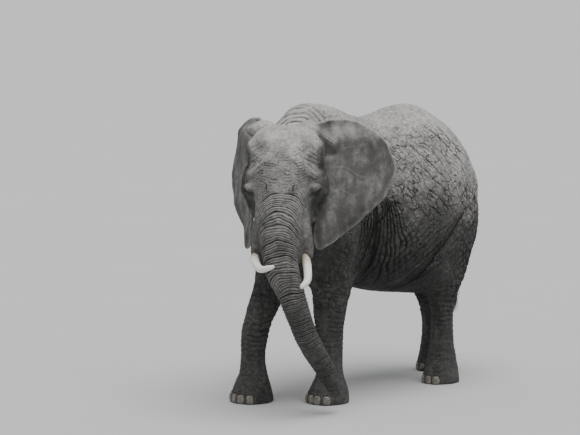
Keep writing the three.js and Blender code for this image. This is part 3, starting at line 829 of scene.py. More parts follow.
class Shade:
    """A material under construction."""

    def __init__(self, name: str) -> None:
        """Starts the material.

        Args:
            name: the material's name.
        """
        self.material = bpy.data.materials.new(name)
        self.material.use_nodes = True
        self.tree = self.material.node_tree
        self.tree.nodes.clear()

    def node(
        self, kind: str, settings: dict[str, object] | None = None, inputs: dict | None = None
    ) -> bpy.types.Node:
        """Adds a node.

        Args:
            kind: its type.
            settings: its properties, which are set first.
            inputs: values or signals by the socket's name, identifier or number.

        Returns:
            The node.
        """
        made = self.tree.nodes.new(kind)
        for key, value in (settings or {}).items():
            setattr(made, key, value)
        for key, value in (inputs or {}).items():
            socket = made.inputs[key] if isinstance(key, int) else self._socket(made, key)
            if isinstance(value, Signal):
                self.tree.links.new(value.socket, socket)
            else:
                socket.default_value = value
        return made

    @staticmethod
    def _socket(node: bpy.types.Node, key: str) -> bpy.types.NodeSocket:
        """An input socket by its identifier or else its name."""
        by_identifier = [s for s in node.inputs if s.identifier == key]
        return by_identifier[0] if by_identifier else node.inputs[key]

    def signal(
        self, kind: str, output: str, settings: dict[str, object] | None = None, inputs: dict | None = None
    ) -> Signal:
        """Adds a node, as above, and gives one of its outputs by name."""
        return Signal(self, self.node(kind, settings, inputs).outputs[output])

    def position(self) -> Signal:
        """The place on the object, in metres."""
        return self.signal("ShaderNodeTexCoord", "Object")

    def stored(self, name: str, vector: bool = False) -> Signal:
        """A value stored at the piece's vertices."""
        return self.signal("ShaderNodeAttribute", "Vector" if vector else "Fac", {"attribute_name": name})

    def noise(self, at: Signal, scale: float, detail: float = 2.0, rough: float = 0.5) -> Signal:
        """Cloudy noise from 0 to 1."""
        inputs = {"Vector": at, "Scale": scale, "Detail": detail, "Roughness": rough}
        return self.signal("ShaderNodeTexNoise", "Fac", {}, inputs)

    def cells(self, at: Signal, scale: float) -> Signal:
        """The distance to the nearest joint of a cobbled pattern."""
        inputs = {"Vector": at, "Scale": scale}
        return self.signal("ShaderNodeTexVoronoi", "Distance", {"feature": "DISTANCE_TO_EDGE"}, inputs)

    def cell_tones(self, at: Signal, scale: float) -> Signal:
        """A random number from 0 to 1 for each cell of a cobbled pattern."""
        feature, inputs = {"feature": "F1"}, {"Vector": at, "Scale": scale}
        colour = self.signal("ShaderNodeTexVoronoi", "Color", feature, inputs)
        return self.signal("ShaderNodeSeparateColor", "Red", {}, {"Color": colour})

    def _vector(self, operation: str, inputs: dict) -> Signal:
        """The result of a Vector Math node."""
        return self.signal("ShaderNodeVectorMath", "Vector", {"operation": operation}, inputs)

    def warped(self, at: Signal, scale: float, reach: float) -> Signal:
        """Pushes places about, for patterns that shouldn't run straight.

        Args:
            at: the places.
            scale: how many swells of the push lie in a metre.
            reach: how wide the push's range is, in metres.

        Returns:
            The places after it.
        """
        cloud = self.signal("ShaderNodeTexNoise", "Color", {}, {"Vector": at, "Scale": scale, "Detail": 1.0})
        centred = self._vector("SUBTRACT", {0: cloud, 1: (0.5, 0.5, 0.5)})
        push = self._vector("SCALE", {0: centred, "Scale": reach})
        return self._vector("ADD", {0: at, 1: push})

    def stretched(self, at: Signal, scale: Triple) -> Signal:
        """Places scaled along each axis."""
        inputs = {"Vector": at, "Scale": scale}
        return self.signal("ShaderNodeMapping", "Vector", {"vector_type": "POINT"}, inputs)

    def blend(self, factor: Signal, first: Signal | Colour, second: Signal | Colour) -> Signal:
        """Mixes two colours.

        Args:
            factor: the second colour's share, from 0 to 1.
            first: the colour where the factor is 0.
            second: the colour where it is 1.

        Returns:
            The mixed colour.
        """
        inputs = {"Factor_Float": factor, "A_Color": first, "B_Color": second}
        made = self.node("ShaderNodeMix", {"data_type": "RGBA", "clamp_factor": True}, inputs)
        return Signal(self, next(s for s in made.outputs if s.identifier == "Result_Color"))

    def bumped(self, height: Signal, distance: float, strength: float) -> Signal:
        """The normal of a relief."""
        inputs = {"Height": height, "Distance": distance, "Strength": strength}
        return self.signal("ShaderNodeBump", "Normal", {}, inputs)

    def surface(self, **inputs: object) -> bpy.types.Material:
        """Ends the material in one principled surface.

        Args:
            inputs: its sockets by name, with _ for each space.

        Returns:
            The finished material.
        """
        made = self.node("ShaderNodeBsdfPrincipled", {}, {k.replace("_", " "): v for k, v in inputs.items()})
        self.node("ShaderNodeOutputMaterial", {}, {"Surface": Signal(self, made.outputs[0])})
        return self.material


# ---------------------------------------------------------------- finishes


def grey(level: float, warmth: float = 0.0) -> Colour:
    """A grey, warmer where warmth is above 0."""
    return (level * (1 + warmth), level, level * (1 - 1.4 * warmth), 1.0)


@dataclass(frozen=True)
class HideFinish:
    """Dry cracked hide, pale with dust and painted light above, and darker below with painted shade.

    It reads what the hide stores at its points: the "grain" places that its pattern lies on, the painted
    shade of creases and hollows, with some dirt in the wrinkles, how "fine" and how "plated" its cracks are,
    the trunk's
    "ring" count and how "ringed" it is, and the dust with its painted light and shade. The four greys run
    from clean skin to caked dust. The darkest tone is that of the painted shade and of the dark joints and
    cracks. Plate and scale are the sizes of cracked cells.
    """

    bare: float = 0.036
    worn: float = 0.112
    dusty: float = 0.30
    caked: float = 0.50
    deepest: Colour = (0.012, 0.011, 0.010, 1.0)
    warmth: float = 0.025
    plate: float = 0.052
    scale: float = 0.012
    relief: float = 0.0048

    def material(self) -> bpy.types.Material:
        """Builds the material.

        Returns:
            The finished material.
        """
        shade = Shade("hide")
        at = shade.position()
        grain = shade.stored("grain", vector=True)
        crease, fine, plated, dust, ring, ringed = (
            shade.stored(name) for name in ("crease", "fine", "plated", "dust", "ring", "ringed")
        )
        # Dark lines along the trunk's rings: painted shade in the ring grooves, and fine dark lines half way
        # between them.
        turns = shade.signal("ShaderNodeMath", "Value", {"operation": "PINGPONG"}, {0: ring, 1: 0.5})
        rings = (1 - turns.ramp(0.0, 0.17)) * ringed * shade.noise(at, 17.0, 2.0, 0.6).ramp(0.36, 0.60)
        bent = shade.warped(shade.warped(grain, 13.0, 0.040), 46.0, 0.012)
        joints = 1 - shade.cells(bent, 1 / self.plate).ramp(0.0, 0.10)
        joints = joints * shade.noise(at, 7.0, 2.0).ramp(0.34, 0.56)
        small = shade.warped(shade.warped(grain, 38.0, 0.016), 130.0, 0.0050)
        broken = shade.noise(at, 31.0, 3.0, 0.65).ramp(0.36, 0.62)
        cracks = (1 - shade.cells(small, 1 / self.scale).ramp(0.0, 0.15)) * (0.20 + broken * 0.80)
        scales = shade.cell_tones(small, 1 / self.scale)
        plates = shade.cell_tones(bent, 1 / self.plate)
        pores = shade.noise(grain, 120.0, 3.0, 0.65)
        patches = shade.noise(at, 3.1, 4.0, 0.6)
        mottle = shade.noise(at, 19.0, 4.0, 0.68)
        smears = shade.noise(shade.stretched(at, (9.0, 9.0, 3.0)), 1.0, 4.0, 0.62)
        # The cover starts from the stored dust, which holds painted light on what faces up and painted shade
        # on what faces down, on the sides of the face and under the eyes, and adds random patches, mottle,
        # pores and smears.
        cover = dust + (patches - 0.5) * 0.50 + (mottle - 0.5) * 0.48
        cover = cover + (pores - 0.5) * 0.42 + (smears - 0.5) * 0.34
        cover = cover + (scales - 0.5) * 0.20 * fine + (plates - 0.5) * 0.10 * plated
        cover = cover - joints * 0.10 * plated - cracks * 0.12 * fine
        # Paler on the trunk's rolls, darker towards its rings.
        cover = cover + (turns - 0.20) * 0.80 * ringed
        bare, worn, dusty, caked = (
            grey(level, self.warmth) for level in (self.bare, self.worn, self.dusty, self.caked)
        )
        tone = shade.blend(cover.ramp(-0.14, 0.46), bare, worn)
        tone = shade.blend(cover.ramp(0.30, 0.80), tone, dusty)
        tone = shade.blend(cover.ramp(0.72, 1.15), tone, caked)
        # Painted shade in creases and hollows, with some dirt in the wrinkles, and in the trunk's ring
        # grooves, together with the hide's dark joints and cracks, all towards the darkest tone.
        shadow = crease * 0.84 + joints * 0.66 * plated + cracks * 0.24 * fine + rings * 0.42
        tone = shade.blend(shadow, tone, self.deepest)
        relief = pores * 0.45 + scales * 0.25 * fine - joints * plated - cracks * 0.70 * fine
        relief = relief + mottle * 0.6 - rings * 0.9
        normal = shade.bumped(relief, self.relief, 1.0)
        rough = 0.80 + cover.ramp(0.1, 0.9) * 0.14 - joints * 0.03
        return shade.surface(Base_Color=tone, Roughness=rough, Normal=normal, Specular_IOR_Level=0.28)


@dataclass(frozen=True)
class IvoryFinish:
    """Polished ivory with fine lengthwise cracks, stained where it leaves the lip.

    It reads "lie", the place across and along the tusk, and "stain".
    """

    clean: Colour = (0.86, 0.84, 0.775, 1.0)
    stained: Colour = (0.34, 0.27, 0.17, 1.0)
    cracked: Colour = (0.27, 0.23, 0.17, 1.0)

    def material(self) -> bpy.types.Material:
        """Builds the material.

        Returns:
            The finished material.
        """
        shade = Shade("ivory")
        lie = shade.stored("lie", vector=True)
        stain = shade.stored("stain")
        streaks = shade.noise(shade.stretched(lie, (60.0, 60.0, 3.0)), 1.0, 3.0, 0.6)
        lines = 1 - shade.cells(shade.stretched(lie, (75.0, 75.0, 2.2)), 1.0).ramp(0.0, 0.045)
        bands = shade.noise(lie, 9.0, 2.0, 0.5)
        tone = shade.blend(streaks.ramp(0.45, 0.8) * 0.22, self.clean, self.stained)
        tone = shade.blend((stain + (bands - 0.5) * 0.6).ramp(0.35, 1.0) * 0.85, tone, self.stained)
        tone = shade.blend(lines * bands.ramp(0.45, 0.75) * 0.7, tone, self.cracked)
        normal = shade.bumped(streaks * 0.3 - lines * 0.6, 0.0012, 0.5)
        rough = 0.36 + streaks * 0.14 + stain * 0.2
        return shade.surface(Base_Color=tone, Roughness=rough, Normal=normal, Coat_Weight=0.12)


@dataclass(frozen=True)
class NailFinish:
    """A toenail, ridged from its root to its worn edge. It reads "lie", the place across and up it."""

    pale: Colour = (0.25, 0.235, 0.205, 1.0)
    dirty: Colour = (0.105, 0.096, 0.082, 1.0)

    def material(self) -> bpy.types.Material:
        """Builds the material.

        Returns:
            The finished material.
        """
        shade = Shade("toenail")
        lie = shade.stored("lie", vector=True)
        ridges = shade.noise(shade.stretched(lie, (170.0, 170.0, 12.0)), 1.0, 2.0, 0.6)
        bands = shade.noise(shade.stretched(lie, (8.0, 8.0, 70.0)), 1.0, 2.0, 0.5)
        grime = shade.noise(lie, 40.0, 4.0, 0.65)
        tone = shade.blend(grime.ramp(0.35, 0.72), self.pale, self.dirty)
        tone = shade.blend(bands.ramp(0.5, 0.8) * 0.45, tone, self.dirty)
        normal = shade.bumped(ridges * 0.6 + bands * 0.5 + grime * 0.2, 0.0016, 0.7)
        return shade.surface(Base_Color=tone, Roughness=0.52 + grime * 0.3, Normal=normal)


@dataclass(frozen=True)
class EyeFinish:
    """A moist brown eye.

    It reads "gaze", the angle from the middle of the pupil, and "lie", the place on a wheel round it. Pupil
    and iris are where they end, as such angles, in radians.
    """

    pupil: float = 0.17
    iris: float = 0.47
    black: Colour = (0.002, 0.002, 0.002, 1.0)
    ring: Colour = (0.012, 0.008, 0.006, 1.0)
    brown: tuple[Colour, Colour] = ((0.020, 0.011, 0.006, 1.0), (0.085, 0.042, 0.017, 1.0))
    white: tuple[Colour, Colour] = ((0.075, 0.055, 0.045, 1.0), (0.035, 0.022, 0.018, 1.0))

    def material(self) -> bpy.types.Material:
        """Builds the material.

        Returns:
            The finished material.
        """
        shade = Shade("eye")
        gaze = shade.stored("gaze")
        lie = shade.stored("lie", vector=True)
        rays = shade.noise(shade.stretched(lie, (9.0, 9.0, 0.6)), 6.0, 3.0, 0.7)
        iris = shade.blend(rays.ramp(0.3, 0.7), *self.brown)
        iris = shade.blend(gaze.ramp(self.iris - 0.12, self.iris), iris, self.ring)
        tone = shade.blend(gaze.ramp(self.pupil - 0.015, self.pupil + 0.015), self.black, iris)
        white = shade.blend(rays.ramp(0.3, 0.8), *self.white)
        tone = shade.blend(gaze.ramp(self.iris, self.iris + 0.05), tone, white)
        rough = 0.07 + rays * 0.03
        return shade.surface(Base_Color=tone, Roughness=rough, Coat_Weight=1.0, Coat_Roughness=0.02)


@dataclass(frozen=True)
class HairFinish:
    """Stiff, wiry black hair with paler, dusty stretches."""

    dark: Colour = (0.018, 0.016, 0.015, 1.0)
    pale: Colour = (0.085, 0.078, 0.070, 1.0)

    def material(self) -> bpy.types.Material:
        """Builds the material.

        Returns:
            The finished material.
        """
        shade = Shade("hair")
        streak = shade.noise(shade.position(), 55.0, 3.0, 0.6)
        tone = shade.blend(streak.ramp(0.4, 0.75), self.dark, self.pale)
        return shade.surface(Base_Color=tone, Roughness=0.42 + streak * 0.25)


@dataclass(frozen=True)
class FloorFinish:
    """A plain pale studio floor."""

    level: float = 0.54

    def material(self) -> bpy.types.Material:
        """Builds the material.

        Returns:
            The finished material.
        """
        shade = Shade("studio_floor")
        cloud = shade.noise(shade.position(), 0.5, 3.0, 0.5)
        tone = shade.blend(cloud, grey(self.level * 0.97), grey(self.level * 1.03))
        return shade.surface(Base_Color=tone, Roughness=0.9)


# ---------------------------------------------------------------- the hide


class Region(Enum):
    """Parts of the hide that are treated differently, with the solids each one covers."""

    HEAD = ("head", "lower_jaw", "eye_left", "eye_right")
    TRUNK = ("trunk_upper", "trunk_middle", "trunk_lower", "trunk_tip")
    EAR_LEFT = ("ear_left",)
    EAR_RIGHT = ("ear_right",)
    NECK = ("neck",)
    CHEST = ("chest",)
    BARREL = ("barrel",)
    RUMP = ("rump",)
    TAIL = ("tail",)
    FORELEGS = tuple(f"foreleg_{side.word}_{part}" for side in Side for part in LEG_PARTS)
    HINDLEGS = tuple(f"hindleg_{side.word}_{part}" for side in Side for part in LEG_PARTS)


REGIONS = list(Region)
FACE = (Region.HEAD, Region.TRUNK)
EARS = (Region.EAR_LEFT, Region.EAR_RIGHT)
TORSO = (Region.CHEST, Region.BARREL, Region.RUMP)
LEGS = (Region.FORELEGS, Region.HINDLEGS)

# The lengths that the hide is stored in. The head's lower part goes to the cheeks.
LENGTHS: dict[str, tuple[Region, ...]] = {
    "hide_brow": (Region.HEAD,),
    "hide_cheeks": (Region.HEAD,),
    "hide_trunk": (Region.TRUNK,),
    "hide_ear_left": (Region.EAR_LEFT,),
    "hide_ear_right": (Region.EAR_RIGHT,),
    "hide_neck": (Region.NECK,),
    "hide_chest": (Region.CHEST,),
    "hide_barrel": (Region.BARREL,),
    "hide_rump": (Region.RUMP, Region.TAIL),
    "hide_forelegs": (Region.FORELEGS,),
    "hide_hindlegs": (Region.HINDLEGS,),
}
NOT_HIDE = ("eye_left", "eye_right")


@dataclass(frozen=True)
class Ridge:
    """A raised line on the head, or a hollow where its height is negative.

    Both ends are given as X from the middle line and Z in the head's frame, for each side alike.
    """

    start: Pair
    end: Pair
    width: float
    height: float
    depths: Pair = (-0.35, 0.16)
    fade: float = 0.06

    def lift(self, local: Array) -> Array:
        """How far it raises places.

        Args:
            local: the places, in the head's frame.

        Returns:
            The rise at each of them, in metres.
        """
        p = np.stack([np.abs(local[:, 0]), local[:, 2]], -1)
        a, b = np.array(self.start), np.array(self.end)
        share = np.clip(((p - a) @ (b - a)) / max(float((b - a) @ (b - a)), 1e-9), 0, 1)
        away = np.linalg.norm(p - a - share[:, None] * (b - a), axis=1)
        low, high = self.depths
        shows = window(local[:, 1], low - self.fade, low, high, high + self.fade)
        return self.height * bell(away, self.width) * shows


@dataclass(frozen=True)
class Mound:
    """A soft swelling of the body, or a hollow where its height is negative."""

    centre: Triple
    reach: Triple
    height: float

    def lift(self, places: Array) -> Array:
        """How far it raises places, with both of the animal's sides alike.

        Args:
            places: the places, in the frame that the centre is given in.

        Returns:
            The rise at each of them, in metres.
        """
        p = places.copy()
        p[:, 0] = np.abs(p[:, 0])
        return self.height * np.exp(-(((p - self.centre) / self.reach) ** 2).sum(1))


# An ear's rim in its own plane, outwards and upwards from its root, in metres.
EAR_RIM: tuple[Pair, ...] = (
    (-0.040, 0.000), (0.030, 0.026), (0.135, 0.048), (0.280, 0.056), (0.410, 0.048), (0.540, 0.008),
    (0.660, -0.078), (0.745, -0.175), (0.805, -0.290), (0.828, -0.405), (0.790, -0.525), (0.715, -0.640),
    (0.585, -0.755), (0.432, -0.878), (0.270, -1.000), (0.150, -1.066), (0.084, -1.086), (0.048, -1.050),
    (0.034, -0.960), (0.046, -0.840), (0.092, -0.704), (0.074, -0.549), (0.000, -0.380), (-0.034, -0.200),
)


# Torn places in an ear's rim: where they lie, their depth and half their width.
EAR_TEARS = (
    (0.275, -0.995, 0.013, 0.018), (0.520, -0.808, 0.008, 0.012),
    (0.745, -0.595, 0.010, 0.014), (0.150, -1.066, 0.007, 0.012),
)

# Where an ear's veins start, and for each its end and its bow to one side.
EAR_HUB = np.array([0.03, -0.30])
EAR_VEINS = (
    (0.52, -0.02, 0.05), (0.76, -0.22, 0.05), (0.76, -0.48, -0.03),
    (0.58, -0.74, -0.05), (0.33, -0.92, -0.05),
)


@dataclass(frozen=True)
class EarPlane:
    """One ear's own plane: U outwards from its root, V upwards, W towards its front face.

    The root lies in the head's frame, with its X outwards. Heading and roll turn the plane about the upright
    and about its own front, in degrees. Over and curl say how far its top and its outer edge roll back.
    """

    side: Side
    root: Triple
    heading: float
    roll: float
    over: float
    curl: float
    centre: Pair = (0.320, -0.420)
    rim: float = 0.0078
    thick: float = 0.017
    around: int = 220
    rings: int = 18

    def axes(self) -> Array:
        """Works out the way that the ear faces.

        Returns:
            The plane's axes as the columns of a matrix.
        """
        out, tilt = math.radians(self.heading), math.radians(self.roll)
        outward = np.array([math.cos(out), math.sin(out), 0.0])
        front = self.side.value * np.array([math.sin(out), -math.cos(out), 0.0])
        u = outward * math.cos(tilt) + UP * math.sin(tilt)
        v = UP * math.cos(tilt) - outward * math.sin(tilt)
        return np.stack([u, v, front], -1)

    def local(self, points: Array, head: HeadFrame) -> Array:
        """Places in the ear's own plane."""
        x, y, z = self.root
        return (points - head.place(self.side.value * x, y, z)) @ self.axes()

    def outline(self) -> Array:
        """Draws the rim, with its small waves and torn places.

        Returns:
            Its points in the ear's plane, as U and V.
        """
        keys = np.array(EAR_RIM)
        k = len(keys)
        t = np.linspace(0, k, self.around, endpoint=False)
        i = t.astype(int)
        f = (t - i)[:, None]
        rim = between([keys[(i + j) % k] for j in (-1, 0, 1, 2)], f)
        inward = units(np.array(self.centre) - rim)
        spot = np.column_stack([rim, np.full(len(rim), 3.0 * self.side.value)])
        free = ramp(rim[:, 0], 0.10, 0.30)
        wave = free * (0.006 * waves(spot, 0.11, 141) + 0.0035 * waves(spot, 0.045, 142))
        for u, v, depth, width in EAR_TEARS:
            wave = wave + depth * bell(np.hypot(rim[:, 0] - u, rim[:, 1] - v), width)
        return rim + inward * wave[:, None]

    def bend(self, u: Array, v: Array) -> Array:
        """Bends the ear's middle sheet: cupped, rolled over above and waved below.

        Args:
            u: the outward places of some points.
            v: their upward places.

        Returns:
            How far the sheet lies in front of the ear's plane there.
        """
        flat = np.stack([u, v, np.full_like(u, 0.7 * self.side.value)], -1)
        w = -0.16 * u * u + 0.022 * np.sin(v / 0.15) * (u / 0.75)
        w = w - self.over * ramp(v, -0.175, 0.075) ** 1.35 * ramp(u, 0.04, 0.30)
        w = w - self.curl * ramp(u, 0.56, 0.84) ** 1.5
        w = w + 0.013 * waves(flat, 0.27, 11) * ramp(u, 0.1, 0.4) + 0.0055 * waves(flat, 0.12, 12)
        lobe = ramp(v, -0.60, -1.0)
        return w + 0.026 * lobe * np.sin(u * 13.0 + 0.4) + 0.018 * lobe

    def plate(self, head: HeadFrame) -> tuple[Array, Array]:
        """The ear's closed sheet.

        Args:
            head: the frame that its root hangs from.

        Returns:
            Its points and its triangles.
        """
        rim = self.outline()
        share = np.concatenate([np.linspace(0.06, 0.93, self.rings - 4), [0.960, 0.980, 0.993, 1.0]])
        middle = np.array(self.centre)
        spot = middle + (rim - middle)[None] * share[:, None, None]
        u, v = spot[..., 0].ravel(), spot[..., 1].ravel()
        half = self.rim + (self.thick - self.rim) * np.clip(1 - u / 0.60, 0, 1) ** 1.5
        edge = np.linalg.norm(rim - middle, axis=1)[None] * (1 - share[:, None])
        round_off = np.sqrt(np.clip(1 - (1 - np.clip(edge / 0.010, 0, 1)) ** 2, 0.02, 1)).ravel()
        w = self.bend(u, v)
        front = np.stack([u, v, w + half * round_off], -1)
        back = np.stack([u, v, w - half * round_off], -1)
        hub = self.bend(*middle[:, None])[0]
        caps = np.array([[*middle, hub + self.thick * 0.7], [*middle, hub - self.thick * 0.7]])
        x, y, z = self.root
        local = np.vstack([front, back, caps])
        points = head.place(self.side.value * x, y, z) + local @ self.axes().T
        n = len(front)
        last = n - self.around
        j = np.arange(self.around)
        after = (j + 1) % self.around
        side_quads = np.stack([last + j, last + after, n + last + after, n + last + j], -1)
        sheet = grid_faces(self.rings, self.around)
        fans = [fan_faces(0, self.around, 2 * n, True), fan_faces(n, self.around, 2 * n + 1, False)]
        triangles = in_triangles(np.vstack([sheet, (sheet + n)[:, ::-1], side_quads]), fans)
        return points, triangles if self.side is Side.LEFT else triangles[:, ::-1]


# How much each part of the hide takes part in the evening out of the solids' facets.
EVENING = {
    Region.HEAD: 0.50,
    Region.TRUNK: 0.55,
    Region.EAR_LEFT: 0.30,
    Region.EAR_RIGHT: 0.30,
    Region.NECK: 0.85,
    Region.CHEST: 1.0,
    Region.BARREL: 1.0,
    Region.RUMP: 1.0,
    Region.TAIL: 0.10,
    Region.FORELEGS: 0.62,
    Region.HINDLEGS: 0.62,
}

# Rows of x, y, z, radius across and radius fore and aft, from the ground under the withers.
TRUNK_LINE = (
    (0.552, -0.985, 2.080, 0.172, 0.118),
    (0.580, -1.034, 1.880, 0.188, 0.150),
    (0.606, -1.086, 1.640, 0.172, 0.160),
    (0.632, -1.080, 1.350, 0.152, 0.146),
    (0.672, -1.020, 1.150, 0.122, 0.122),
    (0.686, -0.912, 0.890, 0.104, 0.106),
    (0.684, -0.815, 0.705, 0.101, 0.100),
    (0.693, -0.721, 0.563, 0.098, 0.094),
    (0.699, -0.602, 0.408, 0.092, 0.084),
    (0.697, -0.519, 0.273, 0.076, 0.066),
    (0.696, -0.490, 0.205, 0.062, 0.052),
)
NECK_LINE = (
    (0.000, 0.150, 1.930, 0.40, 0.48),
    (0.000, -0.090, 1.960, 0.37, 0.47),
    (0.055, -0.370, 2.040, 0.352, 0.465),
    (0.215, -0.610, 2.070, 0.318, 0.405),
    (0.355, -0.780, 2.090, 0.285, 0.340),
)

# Rows of x, y, z and radius: the flesh of the tail inside its tuft.
TAIL_CORE = (
    (-0.110, 2.075, 1.150, 0.0165),
    (-0.116, 2.070, 1.060, 0.0160),
    (-0.127, 2.065, 0.950, 0.0150),
    (-0.135, 2.062, 0.840, 0.0120),
)

# Swellings and hollows of the body: shoulder, hip, haunch, spine and belly.
BODY_MOUNDS = (
    Mound((0.34, -0.10, 2.05), (0.16, 0.16, 0.34), 0.020),
    Mound((0.42, 0.26, 2.02), (0.14, 0.13, 0.42), -0.018),
    Mound((0.36, 1.14, 2.36), (0.15, 0.22, 0.16), 0.028),
    Mound((0.50, 0.86, 2.20), (0.15, 0.17, 0.20), -0.022),
    Mound((0.30, 1.55, 2.12), (0.15, 0.20, 0.20), 0.014),
    Mound((0.00, 1.25, 2.66), (0.07, 0.42, 0.12), 0.010),
    Mound((0.45, 0.75, 1.10), (0.20, 0.42, 0.14), 0.014),
)

# Brows, temples, the crown's ridge, the tusk sheaths and the forehead's slight hollow.
HEAD_RIDGES = (
    Ridge((0.110, 0.285), (0.275, 0.135), 0.040, 0.020),
    Ridge((0.275, 0.135), (0.335, 0.070), 0.042, 0.008),
    Ridge((0.345, 0.060), (0.350, -0.050), 0.030, 0.010),
    Ridge((0.225, 0.340), (0.275, 0.235), 0.068, -0.036, (-0.35, 0.22)),
    Ridge((0.330, 0.300), (0.345, 0.180), 0.040, -0.030, (-0.35, 0.26)),
    Ridge((0.150, 0.425), (0.330, 0.400), 0.034, 0.016, (-0.35, 0.24)),
    Ridge((0.185, -0.280), (0.235, -0.560), 0.030, 0.012),
    Ridge((0.105, 0.045), (0.105, 0.045), 0.070, 0.006),
    Ridge((0.0, 0.330), (0.0, 0.160), 0.085, -0.010),
    Ridge((0.0, 0.110), (0.0, 0.060), 0.100, 0.005),
)

# Cheek, crown, the crown's two corners and the rim of the tusk sheath.
HEAD_MOUNDS = (
    Mound((0.345, 0.135, -0.050), (0.09, 0.12, 0.08), 0.020),
    Mound((0.11, 0.20, 0.47), (0.10, 0.16, 0.10), 0.010),
    Mound((0.205, 0.36, 0.455), (0.075, 0.10, 0.07), 0.050),
    Mound((0.340, 0.130, 0.340), (0.07, 0.14, 0.11), 0.038),
    Mound((0.300, -0.040, -0.520), (0.05, 0.10, 0.08), 0.020),
)

# The dark sides of the temples, as ridges of shade.
TEMPLE_SHADES = (
    (0.55, Ridge((0.340, 0.330), (0.355, 0.170), 0.045, 1.0, (-0.35, 0.26))),
    (0.50, Ridge((0.352, 0.170), (0.356, 0.000), 0.036, 1.0, (-0.02, 0.30))),
)

# Folds round an eye: their distance from its middle, their depth and half width, above and below the slit.
LID_FOLDS_ABOVE = ((0.0285, 0.0044, 0.0026), (0.0395, 0.0030, 0.0034), (0.0505, 0.0026, 0.0042))
LID_FOLDS_BELOW = (
    (0.0215, 0.0026, 0.0024), (0.0340, 0.0046, 0.0036), (0.0480, 0.0044, 0.0042), (0.0640, 0.0032, 0.0050),
)


def along_ground(rows: Sequence[Sequence[float]], ground: Array) -> list[Array]:
    """Rows that start with x, y and z, moved from the ground under the withers to their place."""
    return [np.array([*np.add(row[:3], ground), *row[3:]]) for row in rows]


